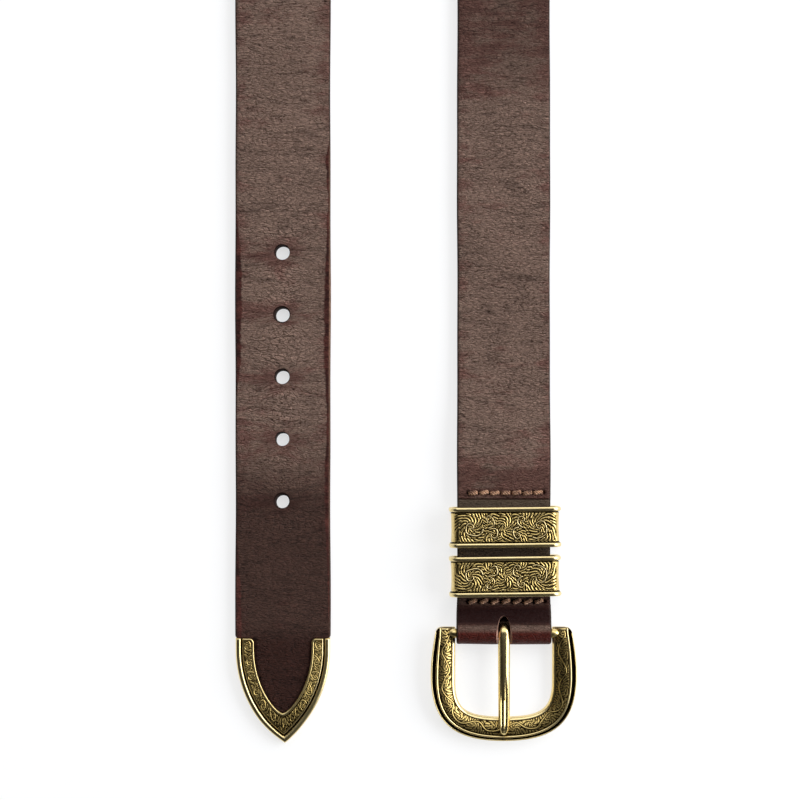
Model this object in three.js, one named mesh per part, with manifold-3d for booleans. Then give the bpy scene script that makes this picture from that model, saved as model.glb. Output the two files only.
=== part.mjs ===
// A western leather belt with a cast brass buckle, two keepers and a pointed metal tip.
// It lies as it is set down on a table. Both ends lie flat with the grain side up, and the
// long middle stretch stands on its edge and turns back in one half circle.
// Millimetres, +Z up, floor at z = 0. In this file "up" is the distance in Y from the apex
// of the metal tip, towards the half circle.

import * as THREE from 'three';
import { mergeVertices } from 'three/addons/utils/BufferGeometryUtils.js';
import Module from 'manifold-3d';

const wasm = await Module();
wasm.setup();

// Driving dimensions.
const BELT_SIZE = 914.4; // bar to middle hole, a 36 inch belt
const LEG_SPACING = 88.4; // between the centre lines of the two ends
const GAP = 0.3; // between pieces that touch

const STRAP = {
  width: 38.1,
  buckleEndWidth: 37.2,
  thickness: 3.8,
  bevel: 0.8,
  bevelOfDepth: 0.28, // limits of the bevel where the leather is thin or narrow
  bevelOfHalf: 0.4,
  twistLength: 160,
  straightOnEdge: 10,
};
const HOLES = { diameter: 5.8, firstUp: 95.9, pitch: 24.9, count: 5, middle: 2 };
const TIP = {
  halfWidth: 18.9,
  ogiveHeight: 36.7,
  top: 41.4,
  backPlate: 0.7,
  wall: 1.2,
  face: 4.3,
  underFace: 3.3,
  border: 7.4,
  rimWidth: 0.9,
  rimHeight: 0.3,
};
const TIP_GROOVE = { from: 1.2, to: 2.2, depth: 0.5 };
const BAR = { up: 43.5, height: 4.8, radius: 1.9, intoHorn: 1.5 };
const FOLD = { insideRadius: 2.2, leather: 2.2, slotWidth: 5.4, slotTop: 50.5 };
const LAYERS = { back: 1.4, leafFront: 3.5, frontBack: 3.7, front: 5.9, grain: 6.25 };
const CREASE_UP = 97.1; // where the skived bed of the keepers begins
const LEAF_END = { up: 103.7, lift: 0.35, thick: 1.2 }; // the skived end, under the strap
const KEEPER = {
  width: 44.7,
  long: 16,
  height: 12.3,
  offMiddle: 0.42,
  bodyLift: 0.3,
  rim: 1.75,
  rimBevel: 0.5,
  rimProud: 0.75,
  rimRise: 0.5,
  corner: 4,
  lowCorner: 1.2,
  passageWidth: 40.4,
  passageFloor: 1.1,
  passageTop: 10.6,
  passageCorner: 2.5,
};
const BUCKLE = {
  halfWidth: 29.24,
  hornTop: 45.8,
  bottom: 0.3,
  openingHalfWidth: 19.35,
  openingBottom: 9.7,
  barAboveBack: 3,
};
const PRONG = { eyeInside: 2.2, eyeOutside: 3.9, eyeWidth: 5 };
const RIB = { sides: 6, onTip: 0.35, onBuckle: 0.38, onKeeper: 0.42 }; // radii of the raised ribs
const ROUND_SIDES = 16;
const ARC_STEPS = 8; // of a rounded corner or arc in a flat shape
const OVERSHOOT = 5; // by which a cutting shape passes the end of the solid that it cuts

const legMidX = (STRAP.width / 2 - BUCKLE.halfWidth) / 2;
const turnRadius = LEG_SPACING / 2;
const tipLegX = legMidX - turnRadius;
const buckleLegX = legMidX + turnRadius;
const middleHoleUp = HOLES.firstUp + HOLES.middle * HOLES.pitch;
const turnUp = (BELT_SIZE + middleHoleUp + BAR.up - Math.PI * turnRadius) / 2;
const totalLength = turnUp + turnRadius + STRAP.thickness / 2;
const twistTop = turnUp - STRAP.straightOnEdge;
const twistStart = twistTop - STRAP.twistLength;

const UP = new THREE.Vector3(0, 0, 1);

function toSolid(geometry) {
  const bare = new THREE.BufferGeometry();
  bare.setAttribute('position', geometry.getAttribute('position').clone());
  if (geometry.index) {
    bare.setIndex(geometry.index.clone());
  }
  const merged = mergeVertices(bare, 1e-4);
  const mesh = new wasm.Mesh({
    numProp: 3,
    vertProperties: new Float32Array(merged.getAttribute('position').array),
    triVerts: new Uint32Array(merged.index.array),
  });
  return new wasm.Manifold(mesh);
}

function toMesh(name, solid, material) {
  const { vertProperties, triVerts } = solid.getMesh();
  const geometry = new THREE.BufferGeometry();
  geometry.setAttribute('position', new THREE.BufferAttribute(vertProperties, 3));
  geometry.setIndex(new THREE.BufferAttribute(triVerts, 1));
  geometry.computeVertexNormals();
  const mesh = new THREE.Mesh(geometry, material);
  mesh.name = name;
  return mesh;
}

// Closes a row of sections into one skin. Each section is a ring of points that runs
// clockwise as seen along the path; the outline is the same ring drawn flat, for the caps.
function skin(rings, outline) {
  const count = rings[0].length;
  const positions = rings.flat().flatMap((point) => point.toArray());
  const index = [];
  for (let i = 0; i < rings.length - 1; i += 1) {
    for (let k = 0; k < count; k += 1) {
      const a = i * count + k;
      const b = i * count + ((k + 1) % count);
      index.push(a, b, b + count, a, b + count, a + count);
    }
  }
  const last = (rings.length - 1) * count;
  for (const [a, b, c] of THREE.ShapeUtils.triangulateShape(outline, [])) {
    const clockwise = THREE.ShapeUtils.area([outline[a], outline[b], outline[c]]) < 0;
    const [p, q] = clockwise ? [b, c] : [c, b];
    index.push(a, q, p);
    index.push(last + a, last + p, last + q);
  }
  const geometry = new THREE.BufferGeometry();
  geometry.setAttribute('position', new THREE.Float32BufferAttribute(positions, 3));
  geometry.setIndex(index);
  return toSolid(geometry);
}

// A shape drawn in X and Y, as a prism between two heights.
function slab(shape, low, high) {
  const geometry = new THREE.ExtrudeGeometry(shape, {
    depth: high - low,
    bevelEnabled: false,
    curveSegments: ARC_STEPS,
  });
  return toSolid(geometry.translate(0, 0, low));
}

// A raised rib: a round bead along a smooth line, half sunk in the face that it lies on.
function rib(points, radius) {
  const curve = new THREE.CatmullRomCurve3(points);
  const section = new THREE.Shape();
  for (let k = 0; k < RIB.sides; k += 1) {
    const angle = (2 * Math.PI * k) / RIB.sides;
    const x = radius * Math.cos(angle);
    const y = radius * Math.sin(angle);
    if (k === 0) {
      section.moveTo(x, y);
    } else {
      section.lineTo(x, y);
    }
  }
  return toSolid(new THREE.ExtrudeGeometry(section, {
    extrudePath: curve,
    steps: points.length - 1,
    bevelEnabled: false,
  }));
}

// Points of a scroll that winds in from its outer end, in its own flat frame.
function scroll({ along, across, radius, turns, start, hand }) {
  const stepsPerTurn = 8;
  const innerShare = 0.2;
  const steps = Math.ceil(turns * stepsPerTurn);
  const points = [];
  for (let i = 0; i <= steps; i += 1) {
    const reach = radius * THREE.MathUtils.lerp(1, innerShare, i / steps);
    const angle = THREE.MathUtils.degToRad(start) + hand * turns * 2 * Math.PI * (i / steps);
    points.push([along + reach * Math.cos(angle), across + reach * Math.sin(angle)]);
  }
  return points;
}

// Points of a leaf vein: a shallow bow between two ends.
function leaf({ along, across, toAlong, toAcross, bow }) {
  const points = [];
  const dx = toAlong - along;
  const dy = toAcross - across;
  const steps = 4;
  for (let i = 0; i <= steps; i += 1) {
    const t = i / steps;
    const lift = bow * Math.sin(Math.PI * t);
    const length = Math.hypot(dx, dy);
    points.push([along + dx * t - (dy / length) * lift, across + dy * t + (dx / length) * lift]);
  }
  return points;
}

// Strap. One section is given by its grain point, its flesh point, the direction across
// the strap and its half width; its four edges are bevelled as burnished edges are.
function strapRing({ grain, flesh, across, half }) {
  const depth = grain.distanceTo(flesh);
  const out = grain.clone().sub(flesh).divideScalar(depth);
  const centre = grain.clone().add(flesh).multiplyScalar(0.5);
  return strapOutline(half, depth).map((corner) => centre.clone()
    .addScaledVector(across, corner.x)
    .addScaledVector(out, corner.y));
}

function strapOutline(half, depth) {
  const bevel = Math.min(STRAP.bevel, depth * STRAP.bevelOfDepth, half * STRAP.bevelOfHalf);
  const edge = half - bevel;
  const flat = depth / 2 - bevel;
  return [
    new THREE.Vector2(edge, depth / 2),
    new THREE.Vector2(half, flat),
    new THREE.Vector2(half, -flat),
    new THREE.Vector2(edge, -depth / 2),
    new THREE.Vector2(-edge, -depth / 2),
    new THREE.Vector2(-half, -flat),
    new THREE.Vector2(-half, flat),
    new THREE.Vector2(-edge, depth / 2),
  ];
}

const arcRadius = (TIP.ogiveHeight ** 2 + TIP.halfWidth ** 2) / (2 * TIP.halfWidth);
const arcOffset = arcRadius - TIP.halfWidth;

function ogiveApex(inset) {
  return TIP.ogiveHeight - Math.sqrt((arcRadius - inset) ** 2 - arcOffset ** 2);
}

function ogiveHalfWidth(up, inset) {
  return Math.sqrt((arcRadius - inset) ** 2 - (TIP.ogiveHeight - up) ** 2) - arcOffset;
}

function tongueSections() {
  const inset = TIP.wall + GAP;
  const low = TIP.backPlate + GAP;
  const high = TIP.underFace - GAP;
  const bluntEnd = 1;
  const apex = ogiveApex(inset) + bluntEnd;
  const steps = 8;
  const sections = [];
  for (let i = 0; i <= steps; i += 1) {
    const up = apex + (TIP.ogiveHeight - apex) * (i / steps);
    sections.push(flatSection(tipLegX, up, high, low, ogiveHalfWidth(up, inset), 1));
  }
  const shoulder = TIP.top + GAP;
  sections.push(flatSection(tipLegX, shoulder, high, low, TIP.halfWidth - inset, 1));
  sections.push(flatSection(tipLegX, shoulder, STRAP.thickness, 0, STRAP.width / 2, 1));
  return sections;
}

function flatSection(x, up, grain, flesh, half, side) {
  return {
    grain: new THREE.Vector3(x, up, grain),
    flesh: new THREE.Vector3(x, up, flesh),
    across: new THREE.Vector3(side, 0, 0),
    half,
  };
}

// A section of the free stretch: the strap is turned by "turn" from lying to standing,
// always with its lower edge on the floor and its grain side outwards.
function freeSection(x, up, heading, turn, half) {
  const forward = new THREE.Vector3(Math.sin(heading), Math.cos(heading), 0);
  const outward = new THREE.Vector3(-Math.cos(heading), Math.sin(heading), 0);
  const normal = UP.clone().multiplyScalar(Math.cos(turn)).addScaledVector(outward, Math.sin(turn));
  const height = half * Math.sin(turn) + (STRAP.thickness / 2) * Math.cos(turn);
  const centre = new THREE.Vector3(x, up, height);
  return {
    grain: centre.clone().addScaledVector(normal, STRAP.thickness / 2),
    flesh: centre.clone().addScaledVector(normal, -STRAP.thickness / 2),
    across: forward.clone().cross(normal),
    half,
  };
}

function freeSections() {
  const half = STRAP.width / 2;
  const endHalf = STRAP.buckleEndWidth / 2;
  const twistSteps = 12;
  const turnSteps = 16;
  const sections = [];
  for (let i = 0; i <= twistSteps; i += 1) {
    const t = i / twistSteps;
    const turn = (Math.PI / 2) * THREE.MathUtils.smoothstep(t, 0, 1);
    sections.push(freeSection(tipLegX, twistStart + STRAP.twistLength * t, 0, turn, half));
  }
  for (let i = 0; i <= turnSteps; i += 1) {
    const heading = Math.PI * (i / turnSteps);
    const x = legMidX - turnRadius * Math.cos(heading);
    const up = turnUp + turnRadius * Math.sin(heading);
    sections.push(freeSection(x, up, heading, Math.PI / 2, half));
  }
  for (let i = 0; i <= twistSteps; i += 1) {
    const t = i / twistSteps;
    const turn = (Math.PI / 2) * (1 - THREE.MathUtils.smoothstep(t, 0, 1));
    const width = THREE.MathUtils.lerp(half, endHalf, t);
    sections.push(freeSection(buckleLegX, twistTop - STRAP.twistLength * t, Math.PI, turn, width));
  }
  return sections;
}

// The strap climbs from the floor onto its own folded end, thinned on the flesh side.
const CLIMB = [
  { up: 150, grain: 3.8, flesh: 0 },
  { up: 138, grain: 4.4, flesh: 0.6 },
  { up: 124, grain: 5.7, flesh: 1.9 },
  { up: 113, grain: 6.2, flesh: 2.6 },
  { up: 106, grain: LAYERS.grain, flesh: LAYERS.frontBack },
  { up: CREASE_UP + 0.2, grain: LAYERS.grain, flesh: LAYERS.frontBack },
  { up: CREASE_UP - 0.2, grain: LAYERS.front, flesh: LAYERS.frontBack },
];

// The folded end, as one line through the middle of the thinned leather.
function foldCurve() {
  const radius = FOLD.insideRadius + FOLD.leather / 2;
  const frontMiddle = (LAYERS.front + LAYERS.frontBack) / 2;
  const leafMiddle = (LAYERS.back + LAYERS.leafFront) / 2;
  const flatUp = 55;
  const pull = 4;
  const frontAngle = THREE.MathUtils.degToRad(62);
  const leafAngle = THREE.MathUtils.degToRad(-80);
  const frontEnd = onBar(radius, frontAngle);
  const leafEnd = onBar(radius, leafAngle);
  const frontPull = new THREE.Vector2(Math.sin(frontAngle), -Math.cos(frontAngle));
  const leafPull = new THREE.Vector2(-Math.sin(leafAngle), Math.cos(leafAngle));
  const front = new THREE.CubicBezierCurve(
    new THREE.Vector2(flatUp, frontMiddle),
    new THREE.Vector2(flatUp - pull, frontMiddle),
    frontEnd.clone().addScaledVector(frontPull, pull),
    frontEnd,
  );
  const leafCurve = new THREE.CubicBezierCurve(
    leafEnd,
    leafEnd.clone().addScaledVector(leafPull, pull),
    new THREE.Vector2(flatUp - pull, leafMiddle),
    new THREE.Vector2(flatUp, leafMiddle),
  );
  const points = front.getPoints(6).map((point) => ({ point, thick: FOLD.leather }));
  const roundSteps = 10;
  for (let i = 1; i < roundSteps; i += 1) {
    const angle = THREE.MathUtils.lerp(frontAngle, 2 * Math.PI + leafAngle, i / roundSteps);
    points.push({ point: onBar(radius, angle), thick: FOLD.leather });
  }
  leafCurve.getPoints(5).forEach((point) => points.push({ point, thick: FOLD.leather }));
  const skiveStart = new THREE.Vector2(CREASE_UP - 2, leafMiddle);
  points.push({ point: skiveStart, thick: LAYERS.leafFront - LAYERS.back });
  const skiveEnd = new THREE.Vector2(LEAF_END.up, leafMiddle + LEAF_END.lift);
  points.push({ point: skiveEnd, thick: LEAF_END.thick });
  return points;
}

function onBar(radius, angle) {
  return new THREE.Vector2(BAR.up + radius * Math.cos(angle), BAR.height + radius * Math.sin(angle));
}

function foldSections() {
  const line = foldCurve();
  const half = STRAP.buckleEndWidth / 2;
  return line.map(({ point, thick }, i) => {
    const before = line[Math.max(i - 1, 0)].point;
    const after = line[Math.min(i + 1, line.length - 1)].point;
    const along = after.clone().sub(before).normalize();
    const normal = new THREE.Vector3(0, along.y, -along.x);
    const centre = new THREE.Vector3(buckleLegX, point.x, point.y);
    return {
      grain: centre.clone().addScaledVector(normal, thick / 2),
      flesh: centre.clone().addScaledVector(normal, -thick / 2),
      across: new THREE.Vector3(-1, 0, 0),
      half,
    };
  });
}

function punchedHole(up) {
  const geometry = new THREE.CylinderGeometry(
    HOLES.diameter / 2,
    HOLES.diameter / 2,
    STRAP.thickness * 3,
    ROUND_SIDES,
  );
  geometry.rotateX(Math.PI / 2);
  return toSolid(geometry.translate(tipLegX, up, 0));
}

function prongSlot() {
  const radius = FOLD.slotWidth / 2;
  const centreUp = FOLD.slotTop - radius;
  const shape = new THREE.Shape();
  shape.moveTo(buckleLegX - radius, BAR.up - 3 * FOLD.leather);
  shape.lineTo(buckleLegX + radius, BAR.up - 3 * FOLD.leather);
  shape.lineTo(buckleLegX + radius, centreUp);
  shape.absarc(buckleLegX, centreUp, radius, 0, Math.PI, false);
  return slab(shape, -1, KEEPER.height);
}

function buildStrap() {
  const half = STRAP.buckleEndWidth / 2;
  const climb = CLIMB.map(({ up, grain, flesh }) => (
    flatSection(buckleLegX, up, grain, flesh, half, -1)));
  const sections = [...tongueSections(), ...freeSections(), ...climb, ...foldSections()];
  const outline = strapOutline(STRAP.width / 2, STRAP.thickness);
  let solid = skin(sections.map(strapRing), outline);
  for (let i = 0; i < HOLES.count; i += 1) {
    solid = solid.subtract(punchedHole(HOLES.firstUp + i * HOLES.pitch));
  }
  return solid.subtract(prongSlot());
}

// Metal tip: a pointed clasp, open in the middle of its face as an arch over the leather.
function ogiveShape(inset, top) {
  const radius = arcRadius - inset;
  const half = TIP.halfWidth - inset;
  const sweep = Math.asin((TIP.ogiveHeight - ogiveApex(inset)) / radius);
  const shape = new THREE.Shape();
  shape.moveTo(0, ogiveApex(inset));
  shape.absarc(-arcOffset, TIP.ogiveHeight, radius, -sweep, 0, false);
  shape.lineTo(half, top);
  shape.lineTo(-half, top);
  shape.absarc(arcOffset, TIP.ogiveHeight, radius, Math.PI, Math.PI + sweep, false);
  return shape;
}

function ogiveBand(from, to, low, high) {
  const outer = slab(ogiveShape(from, TIP.top), low, high);
  return outer.subtract(slab(ogiveShape(to, TIP.top + OVERSHOOT), low - 1, high + 1));
}

// Ribs of the tip's leaf scroll, in millimetres along an arm from the top and across it
// from the middle of the engraved band.
const TIP_SCROLLS = [
  { along: 4.6, across: 0, radius: 1.7, turns: 1.1, start: 200, hand: 1 },
  { along: 16, across: 0, radius: 1.7, turns: 1.1, start: 160, hand: -1 },
  { along: 27, across: 0, radius: 1.6, turns: 1.1, start: 200, hand: 1 },
];
const TIP_LEAVES = [
  { along: 6.8, across: 1.2, toAlong: 13.6, toAcross: -1.2, bow: 0.9 },
  { along: 18.2, across: -1.2, toAlong: 24.8, toAcross: 1.2, bow: -0.9 },
  { along: 29, across: 1.1, toAlong: 38, toAcross: 0.2, bow: 0.6 },
];

function tipArmPoint(along, across, side, inset) {
  const straight = TIP.top - TIP.ogiveHeight;
  const radius = arcRadius - inset - across;
  const angle = Math.max(along - straight, 0) / (arcRadius - inset);
  const up = along < straight ? TIP.top - along : TIP.ogiveHeight - radius * Math.sin(angle);
  const x = radius * Math.cos(angle) - arcOffset;
  return new THREE.Vector3(side * x, up, TIP.face);
}

function buildTip() {
  const bandMiddle = (TIP_GROOVE.to + TIP.border - TIP.rimHeight) / 2;
  let solid = slab(ogiveShape(0, TIP.top), 0, TIP.face);
  const pocketTop = TIP.top + OVERSHOOT;
  solid = solid.subtract(slab(ogiveShape(TIP.wall, pocketTop), TIP.backPlate, TIP.underFace));
  solid = solid.subtract(slab(ogiveShape(TIP.border, pocketTop), TIP.backPlate, TIP.face + 1));
  const { from, to, depth } = TIP_GROOVE;
  const groove = slab(ogiveShape(from, pocketTop), TIP.face - depth, TIP.face + 1)
    .subtract(slab(ogiveShape(to, pocketTop + 1), 0, TIP.face + 2));
  solid = solid.subtract(groove);
  const rimLow = TIP.face - TIP.rimHeight;
  const rimFrom = TIP.border - TIP.rimWidth;
  solid = solid.add(ogiveBand(rimFrom, TIP.border, rimLow, TIP.face + TIP.rimHeight));
  for (const side of [-1, 1]) {
    for (const row of TIP_SCROLLS) {
      const points = scroll(row).map(([a, c]) => tipArmPoint(a, c, side, bandMiddle));
      solid = solid.add(rib(points, RIB.onTip));
    }
    for (const row of TIP_LEAVES) {
      const points = leaf(row).map(([a, c]) => tipArmPoint(a, c, side, bandMiddle));
      solid = solid.add(rib(points, RIB.onTip));
    }
  }
  return solid;
}

// Buckle frame, drawn about the bar's axis: x across the belt, y away from the opening's
// foot, z up from the bar. Its outer and inner edges are matching curves of one half.
const LOCAL_BOTTOM = BUCKLE.bottom - BAR.up;
const LOCAL_OPENING = BUCKLE.openingBottom - BAR.up;
const LOCAL_TOP = BUCKLE.hornTop - BAR.up;
const HALF_BORDER = [
  {
    name: 'horn corner',
    steps: 3,
    outer: [[24.9, LOCAL_TOP], [27, LOCAL_TOP], [27.6, -0.9]],
    inner: [[BUCKLE.openingHalfWidth, LOCAL_TOP], [BUCKLE.openingHalfWidth, -0.6]],
  },
  {
    name: 'side',
    steps: 6,
    outer: [[27.6, -0.9], [BUCKLE.halfWidth, -9.5], [BUCKLE.halfWidth, -16.5]],
    inner: [[BUCKLE.openingHalfWidth, -0.6], [BUCKLE.openingHalfWidth, -19.5]],
  },
  {
    name: 'lower quarter',
    steps: 11,
    outer: [[BUCKLE.halfWidth, -16.5], [BUCKLE.halfWidth, -37], [19, LOCAL_BOTTOM], [0, LOCAL_BOTTOM]],
    inner: [
      [BUCKLE.openingHalfWidth, -19.5],
      [BUCKLE.openingHalfWidth, -31],
      [15, LOCAL_OPENING],
      [0, LOCAL_OPENING],
    ],
  },
];

// Section of the frame, from the outer edge inwards on a border 10 mm wide.
const BORDER_PROFILE = [
  { across: 0.8, height: 0 },
  { across: 0, height: 0.8 },
  { across: 0, height: 4.5 },
  { across: 0.4, height: 5 },
  { across: 0.9, height: 4.9 },
  { across: 1.1, height: 3.7 },
  { across: 2.2, height: 3.7 },
  { across: 2.4, height: 5.1 },
  { across: 3, height: 5.1 },
  { across: 3.3, height: 4.7 },
  { across: 8.9, height: 4.2 },
  { across: 9.1, height: 4.6 },
  { across: 10, height: 4.2 },
  { across: 10, height: 0.7 },
  { across: 9.3, height: 0 },
];
const BORDER_WIDTH = 10;
const ENGRAVED = { from: 3.3, to: 8.9, high: 4.7, low: 4.2 };

function curveThrough(points) {
  const [a, b, c, d] = points.map(([x, y]) => new THREE.Vector2(x, y));
  if (d) {
    return new THREE.CubicBezierCurve(a, b, c, d);
  }
  return c ? new THREE.QuadraticBezierCurve(a, b, c) : new THREE.LineCurve(a, b);
}

// Matching edge points of the border, from the right horn round to the left horn.
function borderStations() {
  const half = [];
  HALF_BORDER.forEach(({ steps, outer, inner }, piece) => {
    const outerPoints = curveThrough(outer).getPoints(steps);
    const innerPoints = curveThrough(inner).getPoints(steps);
    outerPoints.forEach((point, i) => {
      if (piece === 0 || i > 0) {
        half.push({ outer: point, inner: innerPoints[i] });
      }
    });
  });
  const mirrored = half.slice(0, -1).reverse().map(({ outer, inner }) => ({
    outer: new THREE.Vector2(-outer.x, outer.y),
    inner: new THREE.Vector2(-inner.x, inner.y),
  }));
  return [...half, ...mirrored];
}

function borderPoint({ outer, inner }, across, height) {
  const flat = outer.clone().lerp(inner, across / BORDER_WIDTH);
  return new THREE.Vector3(flat.x, flat.y, height - BUCKLE.barAboveBack);
}

// A point of the engraved face, by its distance along the middle line of the border from
// the lowest point of the buckle, and its distance across from the middle of the face.
function faceFinder(stations) {
  const middle = (ENGRAVED.from + ENGRAVED.to) / 2;
  const line = stations.map((station) => borderPoint(station, middle, 0));
  const lengths = [0];
  for (let i = 1; i < line.length; i += 1) {
    lengths.push(lengths[i - 1] + line[i].distanceTo(line[i - 1]));
  }
  const foot = lengths.at(-1) / 2;
  return (along, offset) => {
    const target = THREE.MathUtils.clamp(foot + along, 0, lengths.at(-1) - 0.01);
    const next = lengths.findIndex((length) => length > target);
    const t = (target - lengths[next - 1]) / (lengths[next] - lengths[next - 1]);
    const across = middle + offset;
    const slope = (across - ENGRAVED.from) / (ENGRAVED.to - ENGRAVED.from);
    const height = THREE.MathUtils.lerp(ENGRAVED.high, ENGRAVED.low, slope);
    const a = borderPoint(stations[next - 1], across, height);
    return a.lerp(borderPoint(stations[next], across, height), t);
  };
}

// Half of the buckle's leaf scroll, along and across the engraved face; it is mirrored.
const BUCKLE_SCROLLS = [
  { along: 9.5, across: 0, radius: 2.3, turns: 1.3, start: 150, hand: -1 },
  { along: 23, across: 0, radius: 2.3, turns: 1.3, start: 210, hand: 1 },
  { along: 37, across: 0, radius: 2.3, turns: 1.3, start: 150, hand: -1 },
  { along: 51, across: 0, radius: 2.2, turns: 1.2, start: 210, hand: 1 },
];
const BUCKLE_LEAVES = [
  { along: 12.5, across: -1.8, toAlong: 19.6, toAcross: 1.8, bow: -1.2 },
  { along: 26, across: 1.8, toAlong: 33.6, toAcross: -1.8, bow: 1.2 },
  { along: 40, across: -1.8, toAlong: 47.6, toAcross: 1.8, bow: -1.2 },
];

function buildBuckle() {
  const stations = borderStations();
  const rings = stations.map((station) => (
    BORDER_PROFILE.map(({ across, height }) => borderPoint(station, across, height))));
  const outline = BORDER_PROFILE.map(({ across, height }) => new THREE.Vector2(across, height));
  let solid = skin(rings, outline);
  const barLength = 2 * (BUCKLE.openingHalfWidth + BAR.intoHorn);
  const bar = new THREE.CylinderGeometry(BAR.radius, BAR.radius, barLength, ROUND_SIDES);
  solid = solid.add(toSolid(bar.rotateZ(Math.PI / 2)));
  const onFace = faceFinder(stations);
  for (const side of [-1, 1]) {
    for (const row of BUCKLE_SCROLLS) {
      const points = scroll(row).map(([a, c]) => onFace(side * a, c));
      solid = solid.add(rib(points, RIB.onBuckle));
    }
    for (const row of BUCKLE_LEAVES) {
      const points = leaf(row).map(([a, c]) => onFace(side * a, c));
      solid = solid.add(rib(points, RIB.onBuckle));
    }
  }
  return solid;
}

// Prong, in the same frame about the bar's axis: an eye and a round tapered shank.
const SHANK = [
  { along: 0.6, height: 1.75, halfWidth: 2.4, halfHeight: 1.9 },
  { along: -2.5, height: 2.1, halfWidth: 2.5, halfHeight: 2 },
  { along: -12, height: 2.7, halfWidth: 2.4, halfHeight: 1.95 },
  { along: -24, height: 3.2, halfWidth: 2.25, halfHeight: 1.8 },
  { along: -33, height: 3.6, halfWidth: 2.1, halfHeight: 1.6 },
  { along: -37, height: 3.65, halfWidth: 1.8, halfHeight: 1.25 },
  { along: -39.4, height: 3.4, halfWidth: 1.2, halfHeight: 0.75 },
  { along: -40.2, height: 3.2, halfWidth: 0.5, halfHeight: 0.35 },
];

function buildProng() {
  const sides = 14;
  const turn = (k) => (-2 * Math.PI * k) / sides;
  const rings = SHANK.map(({ along, height, halfWidth, halfHeight }) => (
    Array.from({ length: sides }, (_, k) => new THREE.Vector3(
      -halfWidth * Math.cos(turn(k)),
      along,
      height + halfHeight * Math.sin(turn(k)),
    ))));
  const outline = Array.from({ length: sides }, (_, k) => (
    new THREE.Vector2(Math.cos(turn(k)), Math.sin(turn(k)))));
  const ring = new THREE.Shape();
  ring.absarc(0, 0, PRONG.eyeOutside, 0, 2 * Math.PI, false);
  const hole = new THREE.Path();
  hole.absarc(0, 0, PRONG.eyeInside, 0, 2 * Math.PI, true);
  ring.holes.push(hole);
  const eye = new THREE.ExtrudeGeometry(ring, {
    depth: PRONG.eyeWidth,
    bevelEnabled: false,
    curveSegments: ROUND_SIDES,
  });
  eye.translate(0, 0, -PRONG.eyeWidth / 2).rotateY(Math.PI / 2);
  const roomLength = PRONG.eyeWidth + OVERSHOOT;
  const room = new THREE.CylinderGeometry(
    PRONG.eyeInside,
    PRONG.eyeInside,
    roomLength,
    ROUND_SIDES,
  );
  return skin(rings, outline).add(toSolid(eye)).subtract(toSolid(room.rotateZ(Math.PI / 2)));
}

// Keeper: a flat loop with rolled rims and an engraved front, drawn about its own middle.
function roundedBox(halfWidth, low, high, corner) {
  const shape = new THREE.Shape();
  const small = Math.min(corner, KEEPER.lowCorner);
  shape.moveTo(-halfWidth + small, low);
  shape.lineTo(halfWidth - small, low);
  shape.absarc(halfWidth - small, low + small, small, -Math.PI / 2, 0, false);
  shape.absarc(halfWidth - corner, high - corner, corner, 0, Math.PI / 2, false);
  shape.absarc(-halfWidth + corner, high - corner, corner, Math.PI / 2, Math.PI, false);
  shape.absarc(-halfWidth + small, low + small, small, Math.PI, 1.5 * Math.PI, false);
  return shape;
}

// A shape drawn in X and Z, extruded along Y about its middle.
function bandAlong(shape, long, bevel) {
  const geometry = new THREE.ExtrudeGeometry(shape, {
    depth: long - 2 * bevel,
    bevelEnabled: bevel > 0,
    bevelSize: bevel,
    bevelOffset: -bevel,
    bevelThickness: bevel,
    bevelSegments: 2,
    curveSegments: 4,
  });
  geometry.translate(0, 0, bevel - long / 2);
  return geometry.rotateX(Math.PI / 2);
}

// The keepers' leaf scroll: two large scrolls, two small ones and four leaves.
const KEEPER_SCROLLS = [
  { along: -13.4, across: 0.2, radius: 4.6, turns: 1.7, start: 75, hand: 1 },
  { along: 13.4, across: -0.2, radius: 4.6, turns: 1.7, start: 255, hand: 1 },
  { along: -4.4, across: -2.2, radius: 2.5, turns: 1.2, start: 10, hand: -1 },
  { along: 4.4, across: 2.2, radius: 2.5, turns: 1.2, start: 190, hand: -1 },
];
const KEEPER_LEAVES = [
  { along: -8.6, across: 3.6, toAlong: 0.6, toAcross: 3.9, bow: -1.1 },
  { along: 8.6, across: -3.6, toAlong: -0.6, toAcross: -3.9, bow: -1.1 },
  { along: -7.4, across: 1.6, toAlong: 0.4, toAcross: 1, bow: -0.8 },
  { along: 7.4, across: -1.6, toAlong: -0.4, toAcross: -1, bow: -0.8 },
];

function buildKeeper() {
  const { width, long, height, rim, rimProud, rimRise, corner } = KEEPER;
  const bodyHalf = width / 2 - rimProud;
  const panel = height - rimRise;
  const body = roundedBox(bodyHalf, KEEPER.bodyLift, panel, corner - rimRise);
  let solid = toSolid(bandAlong(body, long - rim, 0));
  for (const side of [-1, 1]) {
    const band = bandAlong(roundedBox(width / 2, 0, height, corner), rim, KEEPER.rimBevel);
    solid = solid.add(toSolid(band.translate(0, (side * (long - rim)) / 2, 0)));
  }
  const passage = roundedBox(
    KEEPER.passageWidth / 2,
    KEEPER.passageFloor,
    KEEPER.passageTop,
    KEEPER.passageCorner,
  );
  solid = solid.subtract(toSolid(bandAlong(passage, long + OVERSHOOT, 0)));
  const onPanel = ([a, c]) => new THREE.Vector3(a, c, panel);
  for (const row of KEEPER_SCROLLS) {
    solid = solid.add(rib(scroll(row).map(onPanel), RIB.onKeeper));
  }
  for (const row of KEEPER_LEAVES) {
    solid = solid.add(rib(leaf(row).map(onPanel), RIB.onKeeper));
  }
  return solid;
}

// The buckle rests on the floor with its foot, while its bar lies higher in the fold.
function restingTilt() {
  const footY = LOCAL_BOTTOM + BORDER_PROFILE[0].across;
  const footZ = -BUCKLE.barAboveBack;
  return Math.asin(BAR.height / Math.hypot(footY, footZ)) - Math.atan2(footZ, footY) - Math.PI;
}

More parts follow.
